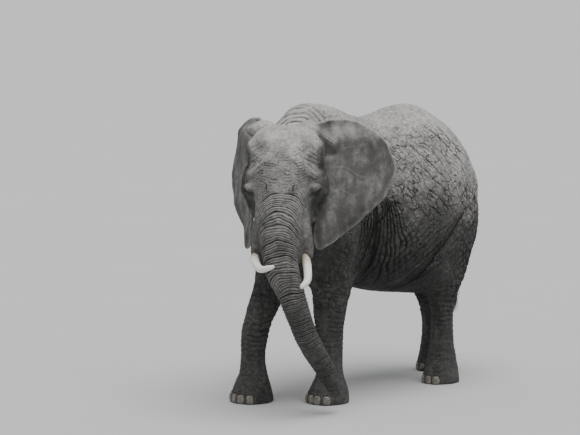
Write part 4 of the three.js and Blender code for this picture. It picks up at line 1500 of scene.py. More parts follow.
@dataclass
class Hide:
    """The elephant's skin, from joined solids to finished pieces.

    Masks say how much each point belongs to each region, and lengths which stored length each face goes to.
    Crease and shade, ring, ringed and brim are kept for the finish: painted shade in creases and hollows,
    with some dirt in the wrinkles.
    """

    head: HeadFrame
    voxel: float = 0.008
    swell: float = 0.0012
    patch: float = 0.024
    feather: int = 10
    evening_rounds: int = 150
    polish_rounds: int = 14
    fine_back: Pair = (0.17, 0.13)
    fine_by_eyes: float = 0.080
    root_reach: float = 0.23
    root_rounds: int = 34
    lowest: float = 0.0004
    ears: tuple[EarPlane, EarPlane] = (
        EarPlane(Side.LEFT, (0.195, 0.330, 0.485), 57.0, 0.0, 0.110, 0.045),
        EarPlane(Side.RIGHT, (0.222, 0.330, 0.440), 160.0, 7.0, 0.110, 0.0),
    )
    eye_radius: float = 0.025
    lid_half: Triple = (0.0345, 0.0430, 0.0370)
    lid_cover: float = 0.0052
    socket_swell: float = 0.019
    slit_half: float = 0.0275
    slit_high: float = 0.0084
    slit_low: float = 0.0082
    slit_tilt: float = 32.0
    hind_lag: float = 0.33
    fore_lead: float = 0.20
    ear_muscle: dict[Side, tuple[Triple, Triple]] = field(
        default_factory=lambda: {
            Side.LEFT: ((0.185, 0.385, 0.425), (0.105, 0.120, 0.080)),
            Side.RIGHT: ((0.225, 0.395, 0.432), (0.150, 0.105, 0.062)),
        }
    )
    ledge: float = 0.020
    cheek_top: float = -0.110
    head_spot: Pair = (0.494, -0.925)
    ground: Array = field(init=False)
    trunk: Course = field(init=False)
    neck: Course = field(init=False)
    net: Net = field(init=False)
    masks: Array = field(init=False)
    lengths: Array = field(init=False)
    polygons: list[Array] = field(init=False)
    crease: Array = field(init=False)
    ring: Array = field(init=False)
    ringed: Array = field(init=False)
    brim: Array = field(init=False)

    def __post_init__(self) -> None:
        """Finds the ground under the withers from the head's place, and the lines that the folds follow."""
        self.ground = np.append(self.head.origin[:2] - self.head_spot, 0.0)
        self.trunk = Course(along_ground(TRUNK_LINE, self.ground), self.head.way(0, -1, 0))
        self.neck = Course(along_ground(NECK_LINE, self.ground), UP, 80)

    # ------------------------------------------------------------ the even base

    def base(self) -> None:
        """Joins the solids of flesh into one net, evens out their facets and refines the face."""
        points, faces, owner = self._flesh()
        mesh = self._remeshed(self._joined(points, faces))
        self.net = Net(mesh)
        quads = column(mesh.loops, "vertex_index", 1, np.int32).reshape(-1, 4)
        label = self._labels(points, faces, owner)
        patches = Patches(self.net, self.patch)
        hot = (label[:, None] == np.arange(len(REGIONS))).astype(float)
        self.masks = patches.spread(hot, self.feather)
        patches.evened(self.masks @ np.array([EVENING[r] for r in REGIONS]), self.evening_rounds)
        self.net.polish(self.polish_rounds, 1 - 0.6 * self.mask(Region.TAIL, *EARS))
        self._refined(quads, label)

    def _flesh(self) -> tuple[Array, Array, Array]:
        """Gathers the solids of flesh, the ears' sheets and the lumps.

        Returns:
            Their points, their triangles and the number of the region that each triangle belongs to.
        """
        sheets = {f"ear_{ear.side.word}": ear for ear in self.ears}
        forms = []
        for region in REGIONS:
            for node in region.value:
                forms.append((region, sheets[node].plate(self.head) if node in sheets else self._solid(node)))
        forms += self._lumps()
        starts = np.cumsum([0] + [len(places) for _, (places, _) in forms])
        points = np.concatenate([places for _, (places, _) in forms])
        faces = np.concatenate([corners + start for (_, (_, corners)), start in zip(forms, starts)])
        owner = np.concatenate(
            [np.full(len(corners), REGIONS.index(region)) for region, (_, corners) in forms]
        )
        return points, faces, owner

    @staticmethod
    def _solid(node: str) -> tuple[Array, Array]:
        """Reads a solid.

        Args:
            node: its name.

        Returns:
            Its points and its triangles.
        """
        mesh = bpy.data.objects[node].data
        mesh.calc_loop_triangles()
        corners = column(mesh.loop_triangles, "vertices", 3, np.int32)
        return column(mesh.vertices, "co", 3), corners

    def _joined(self, points: Array, faces: Array) -> bpy.types.Object:
        """Makes one loose copy of all the flesh, welded and swollen to close the cuts between its solids.

        Args:
            points: the flesh's points.
            faces: its triangles.

        Returns:
            The copy.
        """
        joined = shown("joined_flesh", mesh_of("joined_flesh", points, [faces]))
        work = bmesh.new()
        work.from_mesh(joined.data)
        bmesh.ops.remove_doubles(work, verts=work.verts, dist=1e-5)
        work.normal_update()
        for vertex in work.verts:
            vertex.co += vertex.normal * self.swell
        work.to_mesh(joined.data)
        work.free()
        return joined

    def _lumps(self) -> list[tuple[Region, tuple[Array, Array]]]:
        """Makes the flesh that the solids leave out: the lids, the ears' roots and the tail inside its tuft.

        Returns:
            For each closed shape its region, its points and its triangles.
        """
        made = []
        for side in Side:
            out, slit, over = self.eye_axes(side)
            lid = np.array([out, slit, over]) * np.array(self.lid_half)[:, None]
            made.append((Region.HEAD, self._lump(eye_middle(side) - out * 0.001, lid)))
            place, half = self.ear_muscle[side]
            root = self.head.place(side.value * place[0], place[1], place[2])
            muscle = self.head.axes().T * np.array(half)[:, None]
            made.append((Region.HEAD, self._lump(root, muscle)))
        for (x, y, z, r), (x2, y2, z2, _) in zip(TAIL_CORE, TAIL_CORE[1:]):
            middle = np.array([(x + x2) / 2, (y + y2) / 2, (z + z2) / 2]) + self.ground
            half = np.array([x - x2, y - y2, z - z2]) * 0.85
            axes = np.array([half, (r * 1.15, 0, 0), (0, r * 1.25, 0)])
            made.append((Region.TAIL, self._lump(middle, axes)))
        return made

    @staticmethod
    def _lump(middle: Array, axes: Array, rings: int = 14, around: int = 28) -> tuple[Array, Array]:
        """Makes an ellipsoid.

        Args:
            middle: its middle.
            axes: its three half axes as rows.
            rings: how many rings of points it has.
            around: how many points a ring has.

        Returns:
            Its points and its triangles, which face outwards.
        """
        v = np.linspace(0, math.pi, rings + 2)[1:-1]
        u = np.linspace(0, 2 * math.pi, around, endpoint=False)
        ring = np.sin(v)[:, None, None] * spokes(u, axes[1], axes[2])
        body = (np.cos(v)[:, None, None] * axes[0] + ring).reshape(-1, 3)
        points = middle + np.vstack([body, [axes[0]], [-axes[0]]])
        quads, *fans = closed_faces(rings, around)
        triangles = in_triangles(quads, fans)
        a, b, c = (points[triangles[:, k]] for k in range(3))
        outwards = ((a - middle) * np.cross(b - a, c - a)).sum() > 0
        return points, triangles if outwards else triangles[:, ::-1]

    def _remeshed(self, joined: bpy.types.Object) -> bpy.types.Mesh:
        """Draws an even skin over the joined flesh, and drops the bubbles that its inner walls leave.

        Args:
            joined: the flesh, which is removed afterwards.

        Returns:
            The skin's mesh, all of quads.
        """
        change = joined.modifiers.new("even", "REMESH")
        change.mode = "VOXEL"
        change.voxel_size = self.voxel
        graph = bpy.context.evaluated_depsgraph_get()
        mesh = bpy.data.meshes.new_from_object(joined.evaluated_get(graph))
        bpy.data.objects.remove(joined)
        points = column(mesh.vertices, "co", 3)
        edges = column(mesh.edges, "vertices", 2, np.int32)
        quads = column(mesh.loops, "vertex_index", 1, np.int32).reshape(-1, 4)
        label = np.arange(len(points))
        while True:
            low = np.minimum(label[edges[:, 0]], label[edges[:, 1]])
            fresh = label.copy()
            np.minimum.at(fresh, edges[:, 0], low)
            np.minimum.at(fresh, edges[:, 1], low)
            fresh = fresh[fresh]
            if (fresh == label).all():
                break
            label = fresh
        kept = label == np.bincount(label).argmax()
        number = np.cumsum(kept) - 1
        quads = number[quads[kept[quads[:, 0]]]]
        return mesh_of("hide_base", points[kept], [quads])

    def _labels(self, points: Array, faces: Array, owner: Array) -> Array:
        """Finds the region of each point of the net, by the nearest solid.

        Args:
            points: the flesh's points.
            faces: its triangles.
            owner: the number of the region that each triangle belongs to.

        Returns:
            The number of each point's region.
        """
        tree = BVHTree.FromPolygons([Vector(p) for p in points.tolist()], faces.tolist())
        found = [tree.find_nearest(Vector(p))[2] for p in self.net.points.tolist()]
        return owner[np.array(found)]

    def _refined(self, quads: Array, label: Array) -> None:
        """Splits the faces of the face and trunk in four, and those round the eyes again.

        Args:
            quads: the net's faces.
            label: the number of each point's region.
        """
        names = list(LENGTHS)
        length_of = {region: names.index(name) for name in reversed(names) for region in LENGTHS[name]}
        face_length = np.array([length_of[region] for region in REGIONS])[label[quads[:, 0]]]
        points, masks = self.net.points, self.masks
        low = self.head.local(points[quads[:, 0]])[:, 2] < self.cheek_top
        face_length[(face_length == names.index("hide_brow")) & low] = names.index("hide_cheeks")
        wide: list[Array] = []
        wide_length: list[Array] = []
        local = self.head.local(points)
        fore = self.mask(*FACE) * ramp(local[:, 1], *self.fine_back)
        chosen = (fore[quads] > 0.5).all(1)
        points, quads, wide, behind, masks = refine(points, quads, chosen, masks)
        face_length = face_length[behind]
        face_length, wide_length = face_length[: len(quads)], [face_length[len(quads) :]]
        near = self.by_eyes(points[quads].mean(1)) < self.fine_by_eyes
        points, quads, extra, behind, masks = refine(points, quads, near, masks)
        face_length = face_length[behind]
        face_length, more = face_length[: len(quads)], face_length[len(quads) :]
        wide, wide_length = wide + extra, wide_length + [more]
        self.polygons = [quads] + wide
        self.lengths = np.concatenate([face_length] + wide_length)
        self.masks = masks
        self.net = Net(mesh_of("hide_whole", points, self.polygons))
        self.crease, self.ring, self.ringed, self.brim = np.zeros((4, len(points)))
        log.info("hide: %d points, %d faces", len(points), len(self.lengths))

    @staticmethod
    def by_eyes(points: Array) -> Array:
        """The distance to the nearer eye's middle."""
        return np.minimum(*(np.linalg.norm(points - eye_middle(side), axis=1) for side in Side))

    def mask(self, *regions: Region) -> Array:
        """How much each point belongs to some regions, from 0 to 1, feathered at their borders."""
        return self.masks[:, [REGIONS.index(r) for r in regions]].sum(1)

    def push(self, lift: Array) -> None:
        """Moves the points outwards along their normals, by a distance for each."""
        self.net.points += self.net.normals() * lift[:, None]

    def body(self) -> Array:
        """The points measured from the ground under the withers."""
        return self.net.points - self.ground

    # ------------------------------------------------------------ forms

    def sculpt(self) -> None:
        """Adds the forms that the plain solids leave out."""
        for side, ((x, y, z), _) in self.ear_muscle.items():
            self.net.eased(self.head.place(side.value * x, y, z), self.root_reach, self.root_rounds)
        self._body_forms()
        self._head_forms()
        for ear in self.ears:
            self._ear_forms(ear)
        self._trunk_tip()
        for side in Side:
            self._lids(side)

    def _body_forms(self) -> None:
        """Shoulder blades, hip bones, the hollows before them, knees and loose skin."""
        at = self.body()
        lift = sum((mound.lift(at) for mound in BODY_MOUNDS), np.zeros(len(at)))
        lift = lift + 0.007 * waves(at, 0.21, 5) + 0.003 * waves(at, 0.09, 6)
        self.push(lift * (1 - self.mask(*FACE, *EARS)))

    def _head_forms(self) -> None:
        """The brows, temples, cheeks and the edges of the tusk sheaths."""
        local = self.head.local(self.net.points)
        x, y, z = np.abs(local[:, 0]), local[:, 1], local[:, 2]
        forms = sum((form.lift(local) for form in (*HEAD_RIDGES, *HEAD_MOUNDS)), np.zeros(len(local)))
        border = np.interp(z, [-0.50, -0.40, -0.25, -0.12, 0.0], [0.285, 0.262, 0.238, 0.226, 0.215])
        beside = ramp(x, border - 0.004, border + 0.040) * ramp(y, 0.16, 0.04)
        hollow = beside * window(z, -0.56, -0.40, -0.20, -0.035)
        fringe = bell(x - border + 0.016, 0.018) * window(z, -0.56, -0.42, -0.10, -0.02) * ramp(y, 0.10, 0.0)
        own = self.mask(*FACE)
        below = own * ramp(z, self.ledge + 0.010, self.ledge - 0.008)
        step = -0.0075 * below * ramp(x, 0.15, 0.11) * ramp(z, -0.22, 0.0)
        self.push((forms + 0.007 * fringe) * own + step)
        # Painted shade in the hollows beside the face and on the dark sides of the temples.
        shade = 0.55 * hollow + sum(share * ridge.lift(local) for share, ridge in TEMPLE_SHADES)
        self.crease = np.maximum(self.crease, shade * own)
        for side in Side:
            depth = 0.078 * hollow * own * (local[:, 0] * side.value > 0)
            self.net.points += self.head.way(-0.28 * side.value, 1.0, 0.0) * depth[:, None]

    def _ear_forms(self, ear: EarPlane) -> None:
        """Thins an ear's rim, raises the fold over its root, its veins and its rolled margin, keeps a paler
        rim and cloudy tones for the finish and paints shade on its front face by its root.

        Args:
            ear: the ear's plane.
        """
        mask = self.mask(Region[f"EAR_{ear.side.name}"])
        near = np.flatnonzero(mask > 0.02)
        mask = mask[near]
        spot = ear.local(self.net.points[near], self.head)
        u, v = spot[:, 0], spot[:, 1]
        flat = np.stack([u, v, np.zeros_like(u)], -1)
        rim = ear.outline()
        edge = np.sqrt(np.min([((flat[:, :2] - p) ** 2).sum(1) for p in rim], axis=0))
        fore = spot[:, 2] > ear.bend(u, v)
        lift = -0.0028 * ramp(edge, 0.10, 0.03) * ramp(u, 0.04, 0.14)
        lift += 0.0022 * bell(edge - 0.016, 0.012) * ramp(u, 0.04, 0.14)
        lines = grooves(u * 0.55 + v * 0.83 + 0.006 * waves(flat, 0.08, 27), 0.026, 0.0050)
        fold, under, pleats = (
            Ridge(*form, (-9.0, 9.0)).lift(flat[:, [0, 2, 1]])
            for form in (
                ((0.02, -0.03), (0.205, -0.165), 0.048, 0.030),
                ((0.10, -0.270), (0.225, -0.235), 0.035, -0.022),
                ((0.05, -0.05), (0.200, -0.160), 0.055, 1.0),
            )
        )
        lift += (fold + under - 0.0045 * lines * pleats) * fore
        for number, (*end, bow) in enumerate(EAR_VEINS):
            reach = np.linalg.norm(end - EAR_HUB)
            way = (end - EAR_HUB) / reach
            along = (flat[:, :2] - EAR_HUB) @ way / reach
            off = (flat[:, :2] - EAR_HUB) @ np.array([-way[1], way[0]])
            off = off - bow * np.sin(np.pi * np.clip(along, 0, 1)) - 0.030 * waves(flat, 0.16, 20 + number)
            width = 0.010 * (1.25 - np.clip(along, 0, 1))
            shows = window(along, 0.10, 0.3, 0.7, 0.95) * ramp(waves(flat, 0.20, 150 + number), -0.35, 0.35)
            lift += 0.0024 * bell(off, width) * shows
        lift += 0.0016 * waves(flat, 0.060, 28) + 0.0030 * waves(flat, 0.15, 29)
        cloud = 0.08 * waves(flat, 0.10, 30) + 0.10 * waves(flat * (1.0, 0.45, 1.0), 0.038, 33)
        pale = 0.26 * bell(edge - 0.004, 0.010) - 0.13 * bell(edge - 0.045, 0.030)
        self.brim[near] += (pale + cloud) * mask
        # Painted shade on the ear's front face near its root, where it meets the head.
        root = ramp(u, 0.085, 0.01) * window(v, -1.05, -0.85, -0.30, -0.16)
        self.crease[near] += 0.45 * root * mask * fore
        whole = np.zeros(len(self.net.points))
        whole[near] = lift * mask
        self.push(whole)

    def _trunk_tip(self) -> None:
        """Two nostrils in the trunk's end, and the finger before and behind them."""
        line = self.trunk
        along = line.along[-1]
        off = self.net.points - line.middle[-1]
        past, front, across = off @ along, off @ line.front[-1], off @ line.left[-1]
        near = ramp(past, -0.06, 0.0) * self.mask(Region.TRUNK)
        finger = 0.034 * bell(across, 0.024) * bell(front - 0.040, 0.017)
        finger = finger + 0.022 * bell(across, 0.030) * bell(front + 0.040, 0.016)
        pit = np.zeros(len(off))
        for way in (-1, 1):
            pit += 0.038 * np.exp(-((np.hypot(across - way * 0.019, front * 0.85) / 0.0125) ** 4))
        self.net.points += along * ((finger - pit) * near)[:, None]

    def _lids(self, side: Side) -> None:
        """Draws the skin over one eyeball as two lids, with the slit open between them.

        Args:
            side: the eye's side.
        """
        middle = eye_middle(side)
        out, slit, up = self.eye_axes(side)
        off = self.net.points - middle
        near = np.linalg.norm(off, axis=1) < 0.20
        off = off[near]
        h, a, b = off @ out, off @ slit, off @ up
        away = np.hypot(a, b)
        swell = 0.088 + 0.026 * np.tanh((b - 0.01) / 0.03)
        base = h + self.socket_swell * np.exp(-((away / swell) ** 2))
        cover = self.eye_radius + self.lid_cover
        dome = np.sqrt(np.maximum(cover**2 - a**2 * 0.62 - b**2 * 0.84, 0.0)) - 0.0020
        lifted = 0.5 * (base + dome + np.sqrt((base - dome) ** 2 + 0.010**2)) - 0.0012
        lifted = base + (lifted - base) * ramp(away, 0.075, 0.045)
        arc = np.hypot(a / 1.22, b) + 0.0022 * waves(off, 0.03, 31) * ramp(away, 0.03, 0.05)
        above, below = ramp(b, -0.004, 0.010), ramp(b, 0.004, -0.010)
        folds = [(above, *fold) for fold in LID_FOLDS_ABOVE] + [(below, *fold) for fold in LID_FOLDS_BELOW]
        lines = sum(depth * bell(arc - reach, width) * shows for shows, reach, depth, width in folds)
        rolls = 0.0022 * (bell(arc - 0.0410, 0.0044) + bell(arc - 0.0555, 0.0055)) * below
        angle = np.arctan2(b, a)
        feet = np.sin(angle * 17 + 5 * waves(off, 0.03, 32)) * window(away, 0.036, 0.048, 0.075, 0.110)
        lifted = lifted - (lines - rolls) + 0.0013 * feet
        half = self.slit_half
        reach = np.clip(1 - (a / half) ** 2, 0, 1)
        top, low = self.slit_high * reach**0.8, -self.slit_low * reach**0.8
        inside = window(b, low - 0.0008, low + 0.0008, top - 0.0008, top + 0.0008) * (reach > 0)
        margin = 0.0014 * (bell(b - top - 0.0030, 0.0024) + bell(b - low + 0.0030, 0.0022)) * (reach > 0)
        corner = bell(np.abs(a) - half - 0.005, 0.006) * bell(b, 0.0022)
        lifted = lifted + margin - 0.0030 * corner
        sunk = np.sqrt(np.maximum((self.eye_radius - 0.0015) ** 2 - away**2, 0.0)) - 0.0015
        fresh = lifted * (1 - inside) + np.minimum(lifted, sunk) * inside
        forward = ramp(h, -0.030, -0.008)
        self.net.points[near] += out * ((fresh - h) * forward)[:, None]
        # Painted shade in the lids' folds, in the open slit and its corners, and below the lower lid.
        dark = np.zeros(len(self.net.points))
        dark[near] = 95 * lines + 0.9 * inside + 0.5 * corner
        dark[near] += 0.46 * bell(arc - 0.024, 0.015) * below + 0.26 * bell(away - 0.060, 0.022) * below
        self.crease = np.maximum(self.crease, dark)

    def points_near(self, middle: Array, reach: float) -> Array:
        """The skin's points within reach of a place."""
        return self.net.points[np.linalg.norm(self.net.points - middle, axis=1) < reach]

    def eye_axes(self, side: Side) -> tuple[Array, Array, Array]:
        """Works out the way that an eye faces.

        Args:
            side: the eye's side.

        Returns:
            Its axes: outwards, along its slit towards the back, and across the slit upwards.
        """
        sign = side.value
        out = self.head.way(sign * 0.755, -0.655, -0.04)
        back = self.head.way(sign * 0.655, 0.755, 0.0)
        up = np.cross(back, out) * sign
        up = up if up[2] > 0 else -up
        tilt = math.radians(self.slit_tilt)
        slit = back * math.cos(tilt) + up * math.sin(tilt)
        slit = unit(slit - out * (slit @ out))
        over = np.cross(slit, out)
        return out, slit, over if over[2] > 0 else -over

    # ------------------------------------------------------------ folds

    def wrinkle(self) -> None:
        """Cuts the folds of the trunk, neck, flanks, legs and brow, and keeps how deep each point lies as
        painted shade in the folds, with some dirt in them.
        """
        lift = np.zeros(len(self.net.points))
        upper = (self._trunk_rings, self._neck_folds, self._flank_folds)
        for folds in (*upper, self._leg_folds, self._brow_folds):
            depth, raised = folds()
            lift += raised - depth
            # Painted shade in the folds by their depth, with some dirt held in them.
            self.crease = np.maximum(self.crease, np.clip(depth / 0.007, 0, 1))
        at = self.body()
        soft = 1 - 0.75 * self.mask(*EARS)
        lift += soft * (0.0013 * waves(at, 0.045, 41) + 0.0008 * waves(at, 0.022, 42))
        self.push(lift)
        self.net.points[:, 2] = np.maximum(self.net.points[:, 2], self.lowest)

    def _trunk_rings(self) -> tuple[Array, Array]:
        """Rings round the trunk, arched over its front, closer towards the tip.

        Returns:
            How deep the cuts are and how high the rolls between them, at each point.
        """
        depth, raised = np.zeros((2, len(self.net.points)))
        near = self.mask(*FACE) > 0.02
        points = self.net.points[near]
        along, front, across, share = self.trunk.project(points)
        local = self.head.local(points)
        turn = np.arctan2(np.abs(across), front)
        wobble = waves(points, 0.085, 51) * 0.34 + waves(points, 0.21, 52) * 0.60
        arches = [0.035, 0.085, 0.125, 0.110, 0.055, 0.030]
        arch = np.interp(along, [0.0, 0.15, 0.35, 0.80, 1.20, 1.90], arches)
        high = along - arch * (1 - np.cos(np.minimum(turn, 1.9)))
        knots, sizes = [0.0, 0.35, 0.9, 1.35, 1.75], [0.038, 0.044, 0.042, 0.034, 0.025]
        gaps = np.interp(along, knots, sizes)
        table = np.linspace(-0.4, 2.4, 900)
        steps = np.cumsum(1 / np.interp(table, knots, sizes)) * (table[1] - table[0])
        phase = np.interp(high, table, steps) + wobble
        strong = furrow(phase, gaps, 0.0062) * ramp(forces(phase, 54), 0.35, 0.75)
        fine = furrow(phase, gaps, 0.0050)
        broken = 0.45 + 0.55 * ramp(waves(points, 0.07, 53), -0.55, 0.1)
        own = self.mask(Region.TRUNK)[near]
        face = window(local[:, 2], -1.2, -1.1, self.ledge - 0.006, self.ledge + 0.004)
        face = face * ramp(share, 1.75, 1.25) * ramp(turn, 1.75, 1.15)
        weight = np.clip(own + face * (1 - own), 0, 1)
        behind = 1 - 0.55 * ramp(turn, 1.3, 2.2)
        shallow = np.interp(along, [0.75, 1.30], [1.0, 0.60])
        hollow = (0.0026 * fine * broken + 0.0052 * strong * (0.4 + 0.6 * broken)) * weight * behind * shallow
        depth[near] = hollow
        raised[near] = 0.0020 * roll(phase) * weight * ramp(along, 0.1, 0.5) * behind * shallow
        self.ring[near] = phase * 2
        self.ringed[near] = weight * behind * ramp(share, 2.2, 1.6)
        return depth, raised

    def _neck_folds(self) -> tuple[Array, Array]:
        """Rings of loose skin round the neck, closest over the nape.

        Returns:
            How deep the cuts are and how high the rolls between them, at each point.
        """
        depth, raised = np.zeros((2, len(self.net.points)))
        weight = self.mask(Region.NECK) + 0.55 * self.mask(Region.CHEST) * ramp(self.body()[:, 1], 0.05, -0.2)
        weight = np.clip(weight, 0, 1)
        near = weight > 0.02
        points = self.net.points[near]
        along, front, _, _ = self.neck.project(points)
        gap = 0.039
        phase = along / gap + 0.34 * waves(points, 0.18, 61) + 0.12 * waves(points, 0.07, 62)
        broken = ramp(waves(points, 0.13, 63), -0.6, 0.2)
        top = ramp(front, 0.05, 0.30)
        cut = furrow(phase, gap, 0.0072) * (0.35 + 0.65 * broken)
        depth[near] = 0.0068 * cut * weight[near] * (0.50 + 0.50 * top)
        raised[near] = 0.0045 * roll(phase) * weight[near] * (0.4 + 0.6 * top)
        return depth, raised

    def _flank_folds(self) -> tuple[Array, Array]:
        """The fan behind the shoulder, the long slanting lines above it and the fold before the thigh.

        Returns:
            How deep the cuts are and how high the rolls between them, at each point.
        """
        at = self.body()
        y, z = at[:, 1], at[:, 2]
        torso = self.mask(*TORSO)
        side = ramp(np.abs(at[:, 0]), 0.10, 0.26)
        depth, raised = np.zeros((2, len(at)))
        apex_y, apex_z = 0.24, 2.12
        away = np.hypot(y - apex_y, z - apex_z)
        angle = np.arctan2(y - apex_y, apex_z - z)
        angle = angle + 0.16 * (away - 0.5) * np.sign(angle)
        angle = angle + 0.075 * waves(at, 0.30, 71) + 0.030 * waves(at, 0.11, 72)
        gap = 0.068
        fan = window(away, 0.12, 0.28, 0.95, 1.20) * window(angle, -0.42, -0.30, 0.46, 0.80) * torso * side
        force = 0.25 + 0.75 * forces(angle / gap, 70)
        broken = ramp(waves(at, 0.19, 73), -0.5, 0.3)
        cut = furrow(angle / gap, gap * away, 0.0095) * (0.4 + 0.6 * broken) * force
        depth += 0.0150 * cut * fan
        raised += 0.0095 * roll(angle / gap) * fan * force
        armpit = bell(y - 0.235 - 0.10 * (1.75 - z), 0.030) * window(z, 1.05, 1.25, 1.75, 2.00) * torso * side
        depth += 0.008 * armpit
        long_way = 0.74 * z + 0.67 * y + 0.020 * waves(at, 0.21, 74) + 0.008 * waves(at, 0.08, 75)
        across_way = 0.74 * y - 0.67 * z + 0.020 * waves(at, 0.17, 76)
        upper = window(z, 1.50, 1.75, 2.36, 2.56) * window(y, 0.26, 0.44, 1.40, 1.70) * torso * side
        parts = ramp(waves(at, 0.24, 78), -0.25, 0.35)
        other = ramp(waves(at, 0.17, 79), -0.30, 0.30)
        stripe = 0.105
        chosen = ramp(forces(long_way / stripe, 84), 0.40, 0.60)
        depth += 0.0058 * grooves(long_way, stripe, 0.0065) * (0.15 + 0.85 * parts) * chosen * upper
        held = (upper > 0.02) & (torso > 0.02)
        spots = np.stack([long_way / 0.62, across_way / 1.35, at[:, 0]], -1)[held]
        net = cobbles(spots, 0.062, 85)
        depth[held] += 0.0034 * ramp(net, 0.11, 0.0) * upper[held]
        rising = 0.80 * z - 0.60 * y + 0.030 * waves(at, 0.30, 80) + 0.012 * waves(at, 0.09, 81)
        groin = window(z, 0.86, 0.98, 1.42, 1.72) * window(y, 0.42, 0.62, 1.50, 1.75) * torso * side
        gap = 0.058
        force = 0.3 + 0.7 * forces(rising / gap, 86)
        depth += 0.0060 * grooves(rising, gap, 0.0095) * (0.3 + 0.7 * parts) * groin * force
        raised += 0.0045 * roll(rising / gap) * groin * force
        cut, swollen = self._limb_folds(at)
        depth += cut
        raised += swollen
        back = window(z, 1.9, 2.1, 2.8, 3.0) * torso * (1 - upper) * ramp(y, -0.3, 0.1)
        ribs = y + 0.02 * waves(at, 0.12, 82)
        depth += 0.0018 * grooves(ribs, 0.037, 0.0060) * other * back
        return depth, raised

    def _limb_folds(self, at: Array) -> tuple[Array, Array]:
        """The folds where the thighs' front edges and the shoulders' back edges stand out from the flanks.

        Args:
            at: the points, from the ground under the withers.

        Returns:
            How deep the cuts are and how high the edges, at each point.
        """
        side = ramp(np.abs(at[:, 0]), 0.12, 0.28)
        rear = self.mask(Region.BARREL, Region.RUMP, Region.HINDLEGS) * side
        fore = self.mask(Region.BARREL, Region.CHEST, Region.FORELEGS) * side
        far = at[:, 0] < 0
        wave = 0.010 * waves(at, 0.12, 87)
        line = np.interp(at[:, 2], (0.965, 1.07, 1.28, 1.50, 1.69), (0.84, 0.90, 1.03, 1.26, 1.47))
        off = 0.72 * (at[:, 1] - (line + self.hind_lag * far)) + wave
        held = rear * window(at[:, 2], 0.90, 1.00, 1.56, 1.74)
        depth = 0.0130 * bell(off, 0.013) + 0.0055 * bell(off + 0.040, 0.010)
        depth = depth + 0.0040 * bell(off + 0.078, 0.010)
        depth = depth * held
        raised = 0.0150 * ramp(off, 0.0, 0.055) * ramp(off, 0.40, 0.10) * held
        line = np.interp(at[:, 2], (1.05, 1.24, 1.58, 1.78), (0.050, 0.127, 0.241, 0.412))
        off = 0.90 * (line - self.fore_lead * far - at[:, 1]) + wave
        held = fore * window(at[:, 2], 0.98, 1.08, 1.62, 1.86)
        depth += (0.0120 * bell(off, 0.013) + 0.0050 * bell(off - 0.045, 0.010)) * held
        raised += 0.0100 * ramp(off, 0.0, 0.050) * ramp(off, 0.30, 0.10) * held
        return depth, raised

    def _cuticles(self) -> Array:
        """The fold of skin that each toenail grows out of.

        Returns:
            How far it raises each point.
        """
        rise = np.zeros(len(self.net.points))
        feet = np.flatnonzero(self.mask(*LEGS) * (self.net.points[:, 2] < 0.25) > 0.5)
        places = self.net.points[feet]
        for name in toenail_nodes():
            low, high = box_of(name)
            middle, half = (low + high) / 2, (high - low) / 2
            off = places - middle
            reach = np.hypot(np.hypot(off[:, 0], off[:, 1]) / max(half[0], half[1]), off[:, 2] / half[2])
            near = bell(reach - 1.42, 0.22) * ramp(off[:, 2], -0.8 * half[2], 0.4 * half[2])
            groove = bell(reach - 1.85, 0.16) * ramp(off[:, 2], 0.0, half[2])
            rise[feet] += 0.0060 * near - 0.0028 * groove
        return rise

    def _leg_folds(self) -> tuple[Array, Array]:
        """Folds round the knees and ankles, and the knobbly net over the thighs and shoulders.

        Returns:
            How deep the cuts are and how high the rolls between them, at each point.
        """
        at = self.body()
        z = at[:, 2]
        legs = self.mask(*LEGS)
        depth, raised = np.zeros((2, len(at)))
        lean = z + 0.03 * at[:, 1] + 0.024 * waves(at, 0.15, 91) + 0.009 * waves(at, 0.055, 92)
        bands = window(z, 0.20, 0.26, 0.95, 1.25)
        knee = bell(z - 0.62, 0.16) + 0.55 * bell(z - 0.24, 0.06) + 0.35
        parts = ramp(waves(at, 0.10, 93), -0.5, 0.3)
        own = bands * legs * np.clip(knee, 0, 1)
        gap = 0.046
        depth += 0.0044 * grooves(lean, gap, 0.0074) * (0.25 + 0.75 * parts) * own
        raised += 0.0020 * roll(lean / gap) * parts * own
        rear = self.mask(Region.HINDLEGS, Region.RUMP) * ramp(at[:, 1], 1.25, 1.5)
        rear = rear * window(z, 0.6, 0.8, 1.75, 2.05)
        fore = self.mask(Region.FORELEGS, Region.CHEST) * window(z, 0.7, 0.9, 1.4, 1.7) * 0.6
        near = (rear + fore) > 0.02
        stretched = at[near] * (1.0, 1.0, 0.80)
        bent = stretched + 0.018 * np.stack([waves(stretched, 0.09, s) for s in (94, 95, 96)], -1)
        net = cobbles(bent, 0.056, 97)
        weight = np.clip(rear + fore, 0, 1)[near]
        depth[near] += 0.0058 * ramp(net, 0.17, 0.0) * weight
        raised[near] += 0.0040 * ramp(net, 0.0, 0.35) * weight
        return depth, raised + self._cuticles()

